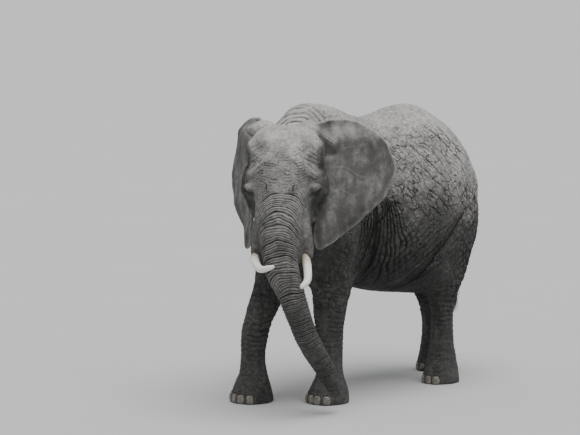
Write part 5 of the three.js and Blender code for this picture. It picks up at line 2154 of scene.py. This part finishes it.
    def _brow_folds(self) -> tuple[Array, Array]:
        """The pebbled forehead, the crossing lines of the temples and the two short creases over the trunk.

        Returns:
            How deep the cuts are and how high the rolls between them, at each point.
        """
        depth, raised = np.zeros((2, len(self.net.points)))
        local = self.head.local(self.net.points)
        front = self.mask(Region.HEAD) * ramp(local[:, 1], 0.26, 0.12)
        front = front * ramp(local[:, 2], self.ledge, self.ledge + 0.02)
        front = front * ramp(self.by_eyes(self.net.points), 0.045, 0.075)
        near = front > 0.02
        spot = local[near]
        x, z = np.abs(spot[:, 0]), spot[:, 2]
        net = cobbles(spot * (1.0, 0.8, 1.15), 0.026, 101)
        pebbled = window(z, 0.0, 0.06, 0.33, 0.45) * ramp(x, 0.30, 0.20)
        depth[near] += 0.0020 * ramp(net, 0.20, 0.0) * front[near] * (0.25 + 0.75 * pebbled)
        raised[near] += 0.0014 * ramp(net, 0.0, 0.4) * front[near] * (0.25 + 0.75 * pebbled)
        across = z + 0.05 * np.cos(x * 6.0) + 0.012 * waves(spot, 0.10, 105) + 0.004 * waves(spot, 0.03, 106)
        brow_lines = grooves(across, 0.024, 0.0045) * ramp(waves(spot, 0.06, 107), -0.2, 0.4)
        depth[near] += 0.0034 * brow_lines * window(z, 0.02, 0.08, 0.26, 0.34) * front[near]
        crease = bell(x - 0.120 - 0.006 * waves(spot, 0.04, 102), 0.0052)
        crease = crease * window(z, 0.014, 0.028, 0.075, 0.100)
        slant = (0.62 * x + 0.78 * z) + 0.010 * waves(spot, 0.10, 103)
        temple = bell(np.hypot((x - 0.25) / 1.0, (z - 0.24) / 1.3), 0.11)
        lines = grooves(slant, 0.031, 0.0052) * ramp(waves(spot, 0.07, 104), -0.4, 0.3)
        depth[near] += (0.0075 * crease + 0.0042 * lines * temple) * front[near]
        return depth, raised

    # ------------------------------------------------------------ what the finish reads

    def _grain(self, along: Array) -> Array:
        """Places for the cracked pattern, drawn out so that its cells lie across trunk, neck and legs.

        Args:
            along: each point's distance along the trunk's line.

        Returns:
            One place for each point.
        """
        places = self.net.points.copy()
        own = ramp(self.mask(Region.TRUNK), 0.0, 0.5)
        places[:, 2] -= 0.9 * np.maximum(along - 0.25, 0) * np.maximum(own, ramp(along, 0.3, 0.7))
        start, end = self.neck.middle[0], self.neck.middle[-1]
        span = (self.net.points - start) @ (end - start) / ((end - start) @ (end - start))
        places += self.head.way(0, 1, 0) * (0.35 * np.clip(span, 0.0, 1.0))[:, None]
        places[:, 2] -= 0.45 * np.maximum(1.15 - self.net.points[:, 2], 0) * (1 - self.mask(*FACE))
        at = self.body()
        flank = window(at[:, 2], 1.35, 1.75, 2.40, 2.75) * window(at[:, 1], 0.15, 0.50, 1.35, 1.75)
        flank = flank * self.mask(*TORSO)
        slant = np.array([0.0, 0.74, -0.67])
        places -= slant * (0.60 * flank * ((at - (0.0, 0.9, 2.05)) @ slant))[:, None]
        return places

    def _dust(self, normals: Array, along: Array) -> Array:
        """How pale each point is, with dust and painted light most on what faces up and lies high; painted
        shade makes it darker on what faces down, on the sides of the face and under the eyes.

        Args:
            normals: each point's outward direction.
            along: each point's distance along the trunk's line.

        Returns:
            The paleness, about 0 where there is neither dust nor painted light and 1 where they are thick.
        """
        at = self.body()
        z = at[:, 2]
        up = normals[:, 2]
        # Paler higher up and on what faces up, with dust and painted light; darker on what faces down, with
        # painted shade.
        body = 0.14 + 0.42 * ramp(z, 1.20, 2.10) + 0.10 * ramp(z, 1.75, 2.05)
        body = body + 0.42 * ramp(up, -0.05, 0.85) * ramp(z, 1.3, 2.3)
        body = body + 0.30 * ramp(at[:, 1], 1.00, 1.50) * ramp(z, 1.3, 1.9)
        body = body - 0.20 * ramp(up, -0.10, -0.75) + 0.07 * self.mask(*LEGS)
        body = body + 0.48 * self.mask(Region.NECK) * ramp(up, -0.1, 0.5)
        local = self.head.local(self.net.points)
        # The face: paler higher up and on what faces up, with dust and painted light; painted shade on what
        # faces down and on the sides of the face.
        face = 0.42 + 0.42 * ramp(local[:, 2], -0.15, 0.45) + 0.16 * ramp(up, 0.1, 0.8)
        face = face - 0.30 * ramp(up, -0.15, -0.8) - 0.26 * ramp(np.abs(local[:, 0]), 0.27, 0.35)
        # Painted light on each upper lid and painted shade under the lower lid.
        for side in Side:
            _, slit, over = self.eye_axes(side)
            off = self.net.points - eye_middle(side)
            a, b = off @ slit, off @ over
            close = ramp(np.linalg.norm(off, axis=1), 0.16, 0.08)
            lid, under_lid_shade = bell(np.hypot(a, b - 0.024), 0.024), bell(np.hypot(a + 0.004, b + 0.042), 0.036)
            face = face + (0.05 * lid - 0.46 * under_lid_shade) * close
        # The trunk: darker towards its tip, and paler with dust and painted light on what faces up.
        trunk = np.interp(along, [0.0, 0.3, 0.6, 0.9, 1.3, 1.9], [0.76, 0.74, 0.62, 0.34, 0.22, 0.15])
        trunk = trunk + 0.14 * ramp(up, 0.0, 0.7)
        head_share = self.mask(Region.HEAD)
        lower = ramp(local[:, 2], 0.05, -0.35)
        face = face * (1 - lower) + np.minimum(face, trunk + 0.05) * lower
        # The ears: paler with dust and painted light on what faces up, with the paler rim and cloudy tones
        # kept before.
        ear = 0.40 + 0.26 * ramp(up, 0.0, 0.6) + self.brim
        ears = self.mask(*EARS)
        own = self.mask(Region.TRUNK)
        rest = np.clip(1 - head_share - ears - own, 0, 1)
        total = body * rest + face * head_share + ear * ears + trunk * own
        mottle = 0.10 * waves(at, 0.045, 112) + 0.08 * waves(at, 0.11, 113)
        return total + 0.06 * waves(at, 0.35, 111) + mottle * head_share

    def _plates(self, normals: Array, ears: Array) -> Array:
        """How strongly the skin is cracked into wide plates: most on the flanks, least on the face.

        Args:
            normals: each point's outward direction.
            ears: how much each point belongs to an ear.

        Returns:
            One number for each point.
        """
        z = self.body()[:, 2]
        torso = self.mask(Region.BARREL, Region.RUMP) + 0.65 * self.mask(Region.CHEST)
        torso = torso * (1 - 0.50 * ramp(normals[:, 2], 0.35, 0.85))
        legs = self.mask(*LEGS) * (0.18 + 0.50 * ramp(z, 0.55, 1.15))
        return torso + legs + 0.25 * self.mask(Region.NECK) + 0.12 * self.mask(Region.HEAD) + 0.10 * ears

    def _trunk_reach(self) -> Array:
        """Measures along the trunk's line, only near it.

        Returns:
            Each point's distance from its start, or 0 away from it.
        """
        along = np.zeros(len(self.net.points))
        near = self.mask(*FACE) > 0.01
        along[near] = self.trunk.project(self.net.points[near])[0]
        return along

    # ------------------------------------------------------------ finished pieces

    def pieces(self, finish: bpy.types.Material) -> list[bpy.types.Object]:
        """Stores the hide in its lengths, each with the whole hide's normals along its borders.

        Args:
            finish: the hide's material.

        Returns:
            One object for each length.
        """
        normals = self.net.normals()
        ears = self.mask(*EARS)
        along = self._trunk_reach()
        fine = 1 - 0.74 * ears - 0.30 * self.mask(*FACE) - 0.25 * self.mask(Region.NECK)
        # The dust with its painted light and shade, and the painted shade of creases and hollows, are stored
        # for the finish.
        values = {
            "grain": self._grain(along),
            "dust": self._dust(normals, along),
            "crease": self.crease,
            "fine": fine * (1 - 0.70 * ramp(self.by_eyes(self.net.points), 0.095, 0.045)),
            "plated": self._plates(normals, ears),
            "ring": self.ring,
            "ringed": self.ringed,
        }
        made = []
        for number, (name, regions) in enumerate(LENGTHS.items()):
            faces, start = [], 0
            for block in self.polygons:
                own = self.lengths[start : start + len(block)] == number
                start += len(block)
                if own.any():
                    faces.append(block[own])
            used = np.unique(np.concatenate([f.ravel() for f in faces]))
            number_of = np.full(len(self.net.points), -1)
            number_of[used] = np.arange(len(used))
            mesh = mesh_of(name, self.net.points[used], [number_of[f] for f in faces])
            for key, value in values.items():
                set_values(mesh, key, value[used])
            mesh.normals_split_custom_set_from_vertices(normals[used].tolist())
            nodes = [n for region in regions for n in region.value if n not in NOT_HIDE]
            made.append(finished(shown(name, mesh), finish, Slot.SKIN, *nodes))
        bpy.data.meshes.remove(self.net.mesh)
        return made


# ---------------------------------------------------------------- tusks, toenails and eyes


# Rows of x, y, z and radius down each tusk, from the ground under the withers.
TUSK_LINES = {
    Side.LEFT: (
        (0.688, -0.832, 1.560, 0.034),
        (0.712, -0.872, 1.450, 0.038),
        (0.782, -0.915, 1.348, 0.037),
        (0.865, -1.002, 1.252, 0.032),
        (0.866, -1.085, 1.195, 0.019),
    ),
    Side.RIGHT: (
        (0.358, -1.085, 1.560, 0.034),
        (0.374, -1.128, 1.452, 0.038),
        (0.450, -1.219, 1.398, 0.038),
        (0.599, -1.296, 1.352, 0.031),
        (0.766, -1.299, 1.390, 0.017),
    ),
}


@dataclass
class Tusk:
    """One curved tusk, round in section and worn to a blunt tip."""

    side: Side
    ground: Array
    around: int = 40
    rings: int = 110
    wave: float = 0.0010
    blunt: float = 0.07
    lip: float = 0.12
    clean: float = 0.34

    def build(self, finish: bpy.types.Material) -> bpy.types.Object:
        """Makes the tusk in place of its solid.

        Args:
            finish: its material.

        Returns:
            The finished piece.
        """
        rows = along_ground([(*row, row[3]) for row in TUSK_LINES[self.side]], self.ground)
        line = Course(rows, (0.0, -1.0, 0.0), self.rings)
        turn = np.linspace(0, 2 * math.pi, self.around, endpoint=False)
        share = np.linspace(0, 1, self.rings)
        past = np.clip(share - (1 - self.blunt), 0, 1) / self.blunt
        radius = line.rows[:, 3] * np.sqrt(np.clip(1 - past**2, 0.0025, 1))
        rim = spokes(turn, line.front[:, None], line.left[:, None])
        points = (line.middle[:, None] + rim * radius[:, None, None]).reshape(-1, 3)
        points += rim.reshape(-1, 3) * (self.wave * waves(points, 0.05, 121 + self.side.value))[:, None]
        lie = spokes(turn, *(radius[:, None, None] * np.eye(3)[:2, None, None]))
        lie[..., 2] = line.reach[:, None]
        tip = line.middle[-1] + line.along[-1] * radius[-1] * 0.5
        caps = np.stack([line.middle[0] - line.along[0] * 0.01, tip])
        name = f"ivory_{self.side.word}"
        mesh = mesh_of(name, np.vstack([points, caps]), closed_faces(self.rings, self.around))
        set_values(mesh, "lie", np.vstack([lie.reshape(-1, 3), [[0, 0, 0], [0, 0, line.reach[-1]]]]))
        stain = np.repeat(ramp(line.reach, self.clean, self.lip), self.around)
        set_values(mesh, "stain", np.concatenate([stain, [1.0, 0.0]]))
        return finished(outward(shown(name, mesh)), finish, Slot.IVORY, f"tusk_{self.side.word}")


def outward(piece: bpy.types.Object) -> bpy.types.Object:
    """Turns the faces of a closed piece outwards.

    Args:
        piece: the piece.

    Returns:
        The same piece.
    """
    work = bmesh.new()
    work.from_mesh(piece.data)
    bmesh.ops.recalc_face_normals(work, faces=work.faces)
    work.to_mesh(piece.data)
    work.free()
    return piece


@dataclass
class Toenail:
    """One toenail: a thick curved plate with a rounded root and a worn, flat lower edge."""

    node: str
    foot: str
    across: int = 26
    rings: int = 18
    grow: float = 1.10
    lowest: float = 0.0025

    def build(self, finish: bpy.types.Material) -> bpy.types.Object:
        """Makes the nail in place of its solid.

        Args:
            finish: its material.

        Returns:
            The finished piece.
        """
        low, high = box_of(self.node)
        foot_low, foot_high = box_of(self.foot)
        middle = (low + high) / 2
        out = unit((*(middle - (foot_low + foot_high) / 2)[:2], 0.0))
        aside = np.array([-out[1], out[0], 0.0])
        size = high - low
        wide = self.grow * 0.5 * (abs(aside[0]) * size[0] + abs(aside[1]) * size[1])
        deep = 0.5 * (abs(out[0]) * size[0] + abs(out[1]) * size[1])
        tall = 0.5 * size[2]
        u = np.linspace(0, 2 * math.pi, self.across, endpoint=False)
        v = np.linspace(-math.pi / 2, math.pi / 2, self.rings + 2)[1:-1]
        ring = signed_power(np.cos(v), 0.55)
        narrowing = 1 - 0.22 * ramp(np.sin(v), -0.2, 1.0)
        x = wide * (ring * narrowing)[:, None] * signed_power(np.cos(u), 0.75)[None]
        y = deep * 0.80 * ring[:, None] * signed_power(np.sin(u), 0.70)[None]
        z = np.repeat((tall * signed_power(np.sin(v), 0.78))[:, None], self.across, 1)
        y = y + 0.12 * deep * (z < 0) * (z / tall) ** 2 * (y > 0) - 0.20 * deep - 0.256 * x**2 / wide
        local = np.stack([x, y, z], -1).reshape(-1, 3)
        local = np.vstack([local, [[0, 0, -tall], [0, 0, tall]]])
        bumps = 0.0009 * waves(local * (1.0, 1.0, 0.25) + middle, 0.010, 131)
        points = middle + local[:, :1] * aside + (local[:, 1:2] + bumps[:, None]) * out + local[:, 2:] * UP
        points[:, 2] = np.maximum(points[:, 2], self.lowest)
        name = self.node.replace("_nail_", "_toenail_")
        mesh = mesh_of(name, points, closed_faces(self.rings, self.across))
        set_values(mesh, "lie", local + middle * (1.0, 1.0, 0.0))
        return finished(outward(shown(name, mesh)), finish, Slot.NAIL, self.node)


@dataclass
class Eye:
    """One eyeball, with the cornea's bulge over a brown iris."""

    side: Side
    hide: Hide
    around: int = 48
    rings: int = 40
    cornea: float = 0.0022
    cornea_half: float = 0.42
    sunk: float = 0.0004

    def build(self, finish: bpy.types.Material) -> bpy.types.Object:
        """Makes the eye in place of its solid.

        Args:
            finish: its material.

        Returns:
            The finished piece.
        """
        middle = eye_middle(self.side)
        out, slit, over = self.hide.eye_axes(self.side)
        gaze = np.linspace(0, math.pi, self.rings + 2)[1:-1]
        turn = np.linspace(0, 2 * math.pi, self.around, endpoint=False)
        ball = self.hide.eye_radius
        radius = ball + self.cornea * bell(gaze, self.cornea_half) - self.sunk
        points = np.cos(gaze)[:, None, None] * out + np.sin(gaze)[:, None, None] * spokes(turn, slit, over)
        points = (middle + points * radius[:, None, None]).reshape(-1, 3)
        poles = np.stack([middle + out * (ball + self.cornea - self.sunk), middle - out * ball])
        name = f"eyeball_{self.side.word}"
        mesh = mesh_of(name, np.vstack([points, poles]), closed_faces(self.rings, self.around))
        set_values(mesh, "gaze", np.concatenate([np.repeat(gaze, self.around), [0.0, math.pi]]))
        wheel = np.repeat(spokes(turn, *np.eye(3)[:2]), self.rings, 0)
        wheel[..., 2] = gaze[:, None]
        set_values(mesh, "lie", np.vstack([wheel.reshape(-1, 3), [[0, 0, 0], [0, 0, 3]]]))
        return finished(outward(shown(name, mesh)), finish, Slot.EYE, f"eye_{self.side.word}")


# ---------------------------------------------------------------- hair


@dataclass(frozen=True)
class Sweep:
    """A Geometry Nodes tree that turns drawn lines into tapered strands.

    Thickness is a strand's radius at its root, in metres, and sides how many sides its section has.
    """

    sides: int
    thickness: float
    finish: bpy.types.Material

    def tree(self) -> bpy.types.GeometryNodeTree:
        """Builds the tree: lines to curves, a small ring swept along them, realised and dressed.

        Returns:
            The tree, with the inputs "Thickness" and "Sides".
        """
        tree = bpy.data.node_groups.new("strand_sweep", "GeometryNodeTree")
        for name, in_out, kind in (
            ("Geometry", "INPUT", "Geometry"),
            ("Thickness", "INPUT", "Float"),
            ("Sides", "INPUT", "Int"),
            ("Geometry", "OUTPUT", "Geometry"),
        ):
            tree.interface.new_socket(name, in_out=in_out, socket_type=f"NodeSocket{kind}")
        given, lines, taper, size, radius, ring, sweep, realise, dress, out = (
            tree.nodes.new(kind)
            for kind in (
                "NodeGroupInput",
                "GeometryNodeMeshToCurve",
                "GeometryNodeInputNamedAttribute",
                "ShaderNodeMath",
                "GeometryNodeSetCurveRadius",
                "GeometryNodeCurvePrimitiveCircle",
                "GeometryNodeCurveToMesh",
                "GeometryNodeRealizeInstances",
                "GeometryNodeSetMaterial",
                "NodeGroupOutput",
            )
        )
        taper.data_type = "FLOAT"
        taper.inputs["Name"].default_value = "taper"
        size.operation = "MULTIPLY"
        ring.inputs["Radius"].default_value = 1.0
        sweep.inputs["Fill Caps"].default_value = True
        dress.inputs["Material"].default_value = self.finish
        links = [
            (given, "Geometry", lines, "Mesh"),
            (taper, "Attribute", size, 0),
            (given, "Thickness", size, 1),
            (lines, "Curve", radius, "Curve"),
            (size, 0, radius, "Radius"),
            (radius, "Curve", sweep, "Curve"),
            (given, "Sides", ring, "Resolution"),
            (ring, "Curve", sweep, "Profile Curve"),
            (sweep, "Mesh", realise, "Geometry"),
            (realise, "Geometry", dress, "Geometry"),
            (dress, "Geometry", out, "Geometry"),
        ]
        if "Scale" in sweep.inputs:
            links.append((size, 0, sweep, "Scale"))
        for start, output, end, entry in links:
            tree.links.new(start.outputs[output], end.inputs[entry])
        return tree

    def strands(self, name: str, lines: Array, taper: Array, roots: Array) -> bpy.types.Object:
        """Sweeps strands along lines.

        Args:
            name: the piece's name.
            lines: one row of points for each strand, from root to tip.
            taper: the share of the thickness at each point of a strand.
            roots: each strand's place, from 0 to 1 twice, on the unwrapped skin that it grows from.

        Returns:
            A plain mesh object with a map laid out from each strand's root and the share along it.
        """
        count, steps = lines.shape[:2]
        mesh = bpy.data.meshes.new(f"{name}_lines")
        start = (np.arange(count) * steps)[:, None] + np.arange(steps - 1)
        edges = np.stack([start, start + 1], -1).reshape(-1, 2)
        mesh.vertices.add(count * steps)
        mesh.vertices.foreach_set("co", lines.astype(np.float32).ravel())
        mesh.edges.add(len(edges))
        mesh.edges.foreach_set("vertices", edges.astype(np.int32).ravel())
        mesh.update()
        set_values(mesh, "taper", np.tile(taper, count))
        along = np.tile(np.linspace(0, 1, steps), count)
        set_values(mesh, "lie", np.column_stack([np.repeat(roots, steps, axis=0), along]))
        guide = shown(f"{name}_lines", mesh)
        change = guide.modifiers.new("sweep", "NODES")
        change.node_group = self.tree()
        entries = change.node_group.interface.items_tree
        sockets = {entry.name: entry.identifier for entry in entries if entry.in_out == "INPUT"}
        change[sockets["Thickness"]] = self.thickness
        change[sockets["Sides"]] = self.sides
        graph = bpy.context.evaluated_depsgraph_get()
        swept = bpy.data.meshes.new_from_object(guide.evaluated_get(graph))
        bpy.data.objects.remove(guide)
        swept.name = name
        lie = column(swept.attributes["lie"].data, "vector", 3)
        chart = swept.uv_layers.new(name="OFBake")
        corner = column(swept.loops, "vertex_index", 1, np.int32)[:, 0]
        round_it = np.arange(len(swept.vertices)) % self.sides / self.sides
        spots = lie[:, :2] * 0.98 + 0.008 + 0.003 * np.column_stack([lie[:, 2] - 0.5, round_it - 0.5])
        chart.data.foreach_set("uv", spots[corner].astype(np.float32).ravel())
        swept.shade_smooth()
        return shown(name, swept)


@dataclass
class TailTuft:
    """The stiff black hairs that hang from the front and back edges of the tail's end."""

    ground: Array
    count: int = 430
    steps: int = 10
    seed: int = 7
    thickness: float = 0.0016
    lowest: float = 0.56
    line: tuple[Triple, ...] = (
        (-0.108, 2.076, 1.170),
        (-0.117, 2.070, 1.060),
        (-0.129, 2.064, 0.930),
        (-0.137, 2.062, 0.800),
        (-0.140, 2.060, 0.690),
    )

    def build(self, finish: bpy.types.Material) -> bpy.types.Object:
        """Makes the tuft in place of its solid.

        Args:
            finish: its material.

        Returns:
            The finished piece.
        """
        pick = np.random.default_rng(self.seed)
        rows = along_ground([(*place, 1.0, 1.0) for place in self.line], self.ground)
        course = Course(rows, (0.0, -1.0, 0.0), 120)
        share = pick.uniform(0.10, 0.74, self.count) ** 0.9
        at = np.searchsorted(course.reach, share * course.reach[-1]).clip(0, len(course.reach) - 1)
        edge = np.where(pick.random(self.count) < 0.5, 0.0, np.pi)
        turn = edge + pick.normal(0.0, 0.55, self.count)
        root_radius = 0.0135 * (1 - 0.35 * share)
        out = np.cos(turn)[:, None] * course.front[at] + np.sin(turn)[:, None] * course.left[at]
        root = course.middle[at] + out * root_radius[:, None]
        length = (0.16 + 0.20 * pick.random(self.count)) * (1.15 - 0.45 * share)
        spread = 0.010 + 0.030 * pick.random(self.count)
        sway = pick.normal(0.0, 0.012, (self.count, 3))
        t = np.linspace(0, 1, self.steps)[None, :, None]
        down = course.along[at][:, None]
        lines = root[:, None] + down * length[:, None, None] * t
        splay = np.sin(np.minimum(t * 2.2, np.pi / 2)) * (1 - 0.35 * t)
        lines = lines + out[:, None] * (spread[:, None, None] * splay)
        ripple = 0.0022 * np.sin(7 * t + 6.28 * pick.random((self.count, 1, 1)))
        lines = lines + sway[:, None] * t**1.6 + ripple
        lines[..., 2] = np.maximum(lines[..., 2], self.lowest)
        taper = np.interp(np.linspace(0, 1, self.steps), [0, 0.1, 0.7, 1], [0.8, 1.0, 0.75, 0.12])
        roots = np.column_stack([(turn / (2 * np.pi)) % 1.0, share])
        piece = Sweep(4, self.thickness, finish).strands("tail_hairs", lines, taper, roots)
        return finished(piece, finish, Slot.HAIR, "tail_tuft")


@dataclass
class Lashes:
    """The long lashes of one eye."""

    side: Side
    hide: Hide
    upper: int = 34
    lower: int = 16
    steps: int = 7
    seed: int = 11
    thickness: float = 0.0005

    def build(self, finish: bpy.types.Material) -> bpy.types.Object:
        """Makes the lashes, rooted in the lids' margins.

        Args:
            finish: its material.

        Returns:
            The finished piece.
        """
        pick = np.random.default_rng(self.seed + self.side.value)
        out, slit, over = self.hide.eye_axes(self.side)
        middle = eye_middle(self.side)
        near = self.hide.points_near(middle, 0.08)
        count = self.upper + self.lower
        a = np.concatenate([np.linspace(-0.021, 0.023, self.upper), np.linspace(-0.016, 0.020, self.lower)])
        a = a + pick.normal(0, 0.0006, count)
        top = np.arange(count) < self.upper
        edge = np.clip(1 - (a / self.hide.slit_half) ** 2, 0, 1) ** 0.8
        b = np.where(top, self.hide.slit_high * edge + 0.0028, -self.hide.slit_low * edge - 0.0028)
        flat = np.column_stack([(near - middle) @ slit, (near - middle) @ over])
        front = (near - middle) @ out
        held = front > 0
        which = [np.argmin(((flat[held] - (p, q)) ** 2).sum(1)) for p, q in zip(a, b)]
        root = near[held][which] - out * 0.0015
        length = np.where(top, 0.050, 0.026) * (0.75 + 0.45 * pick.random(count))
        lean = np.where(top, 0.34, -0.75) + pick.normal(0, 0.10, count)
        droop = np.where(top, -0.022, -0.008)
        t = np.linspace(0, 1, self.steps)[None, :, None]
        way = out + over * lean[:, None] + slit * (a * 9.0 + pick.normal(0, 0.06, count))[:, None]
        lines = root[:, None] + units(way)[:, None] * length[:, None, None] * t
        lines = lines + UP * (droop[:, None, None] * t**2)
        taper = np.interp(np.linspace(0, 1, self.steps), [0, 0.6, 1], [1.0, 0.7, 0.10])
        roots = np.column_stack([(a + 0.03) / 0.06, (b + 0.02) / 0.04])
        piece = Sweep(3, self.thickness, finish).strands(f"lashes_{self.side.word}", lines, taper, roots)
        return finished(piece, finish, Slot.HAIR)


@dataclass
class Bristles:
    """Sparse short bristles over the trunk, chin, crown and back."""

    hide: Hide
    count: int = 1500
    steps: int = 5
    seed: int = 23
    thickness: float = 0.00055

    def build(self, finish: bpy.types.Material) -> bpy.types.Object:
        """Makes the bristles, rooted a little under the skin.

        Args:
            finish: its material.

        Returns:
            The finished piece.
        """
        pick = np.random.default_rng(self.seed)
        hide = self.hide
        normals = hide.net.normals()
        at = hide.body()
        local = hide.head.local(hide.net.points)
        crown = hide.mask(Region.HEAD) * ramp(local[:, 2], 0.34, 0.46)
        chin = hide.mask(Region.HEAD) * ramp(local[:, 2], -0.46, -0.60)
        chin = chin * ramp(normals[:, 2], 0.2, -0.5)
        trunk = hide.mask(Region.TRUNK) * 0.30
        back = hide.mask(*TORSO, Region.NECK) * ramp(normals[:, 2], 0.80, 0.98)
        back = back * ramp(np.abs(at[:, 0]), 0.16, 0.05)
        weight = crown + chin * 3.0 + trunk + back * 0.9
        weight = weight * (hide.by_eyes(hide.net.points) > 0.07)
        chosen = pick.choice(len(weight), self.count, replace=False, p=weight / weight.sum())
        out, root = normals[chosen], hide.net.points[chosen]
        length = (0.018 + 0.026 * pick.random(self.count)) * (1 + 0.6 * chin[chosen])
        comb = np.array([0.0, 0.25, -0.55]) + pick.normal(0, 0.22, (self.count, 3))
        t = np.linspace(0, 1, self.steps)[None, :, None]
        lines = (root - out * 0.003)[:, None] + units(out + comb)[:, None] * length[:, None, None] * t
        lines = lines + np.array([0, 0, -0.35]) * length[:, None, None] * t**2
        taper = np.interp(np.linspace(0, 1, self.steps), [0, 1], [1.0, 0.12])
        low, high = root.min(0), root.max(0)
        spots = (root - low) / (high - low)
        piece = Sweep(3, self.thickness, finish).strands("bristles", lines, taper, spots[:, [1, 2]])
        return finished(piece, finish, Slot.HAIR)


# ---------------------------------------------------------------- studio


@dataclass
class Studio:
    """A pale floor, soft light from above and a long lens."""

    floor_reach: float = 600.0
    target: Triple = (-0.3101, -0.5637, 1.657)
    turn: float = 45.0
    rise: float = 6.0
    distance: float = 22.0
    lens: float = 150.0
    sensor: float = 36.0
    sun: float = 3.1
    sun_spread: float = 50.0
    sun_way: Triple = (-0.28, 0.10, -1.0)
    air: Colour = (0.88, 0.89, 0.90, 1.0)
    air_strength: float = 0.57

    def build(self) -> None:
        """Makes the floor, the lights and the camera."""
        self._floor()
        self._lights()
        self._camera()

    def _floor(self) -> None:
        """A wide floor a hair below the soles."""
        r = self.floor_reach
        points = np.array([(-r, -r, 0.0), (r, -r, 0.0), (r, r, 0.0), (-r, r, 0.0)])
        floor = shown("studio_floor", mesh_of("studio_floor", points, [np.array([[0, 1, 2, 3]])]))
        floor.data.materials.append(FloorFinish().material())

    def _lights(self) -> None:
        """A broad soft light from high above, and pale air."""
        high = bpy.data.lights.new("overhead", "SUN")
        high.energy = self.sun
        high.angle = math.radians(self.sun_spread)
        lamp = bpy.data.objects.new("overhead", high)
        lamp.rotation_euler = Vector(self.sun_way).to_track_quat("-Z", "Y").to_euler()
        bpy.context.scene.collection.objects.link(lamp)
        world = bpy.data.worlds.new("studio_air")
        world.use_nodes = True
        back = world.node_tree.nodes["Background"]
        back.inputs["Color"].default_value = self.air
        back.inputs["Strength"].default_value = self.air_strength
        bpy.context.scene.world = world

    def _camera(self) -> None:
        """The main view's camera."""
        a, e = math.radians(self.turn), math.radians(self.rise)
        way = Vector((math.sin(a) * math.cos(e), -math.cos(a) * math.cos(e), math.sin(e)))
        data = bpy.data.cameras.new("main_view")
        data.lens = self.lens
        data.sensor_width = self.sensor
        data.clip_start, data.clip_end = 0.5, 3000.0
        camera = bpy.data.objects.new("main_view", data)
        camera.location = Vector(self.target) + way * self.distance
        camera.rotation_mode = "QUATERNION"
        camera.rotation_quaternion = (-way).to_track_quat("-Z", "Y")
        bpy.context.scene.collection.objects.link(camera)
        bpy.context.scene.camera = camera


# ---------------------------------------------------------------- the whole animal


def corners(bounds: tuple[Vector, Vector]) -> list[list[float]]:
    """A box's two corners as plain lists."""
    return [list(map(float, c)) for c in bounds]


def main() -> None:
    """Builds the elephant over its solids, then the studio."""
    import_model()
    head = HeadFrame.from_eyes()
    hide = Hide(head)
    hide.base()
    hide.sculpt()
    hide.wrinkle()
    hair = HairFinish().material()
    TailTuft(hide.ground).build(hair)
    for side in Side:
        Lashes(side, hide).build(hair)
    Bristles(hide).build(hair)
    hide.pieces(HideFinish().material())
    ivory = IvoryFinish().material()
    for side in Side:
        Tusk(side, hide.ground).build(ivory)
    nail = NailFinish().material()
    for node in toenail_nodes():
        Toenail(node, node.rpartition("_nail_")[0] + "_foot").build(nail)
    eye = EyeFinish().material()
    for side in Side:
        Eye(side, hide).build(eye)
    Studio().build()


if __name__ == "__main__":
    logging.basicConfig(level=logging.INFO, format="%(message)s")
    main()
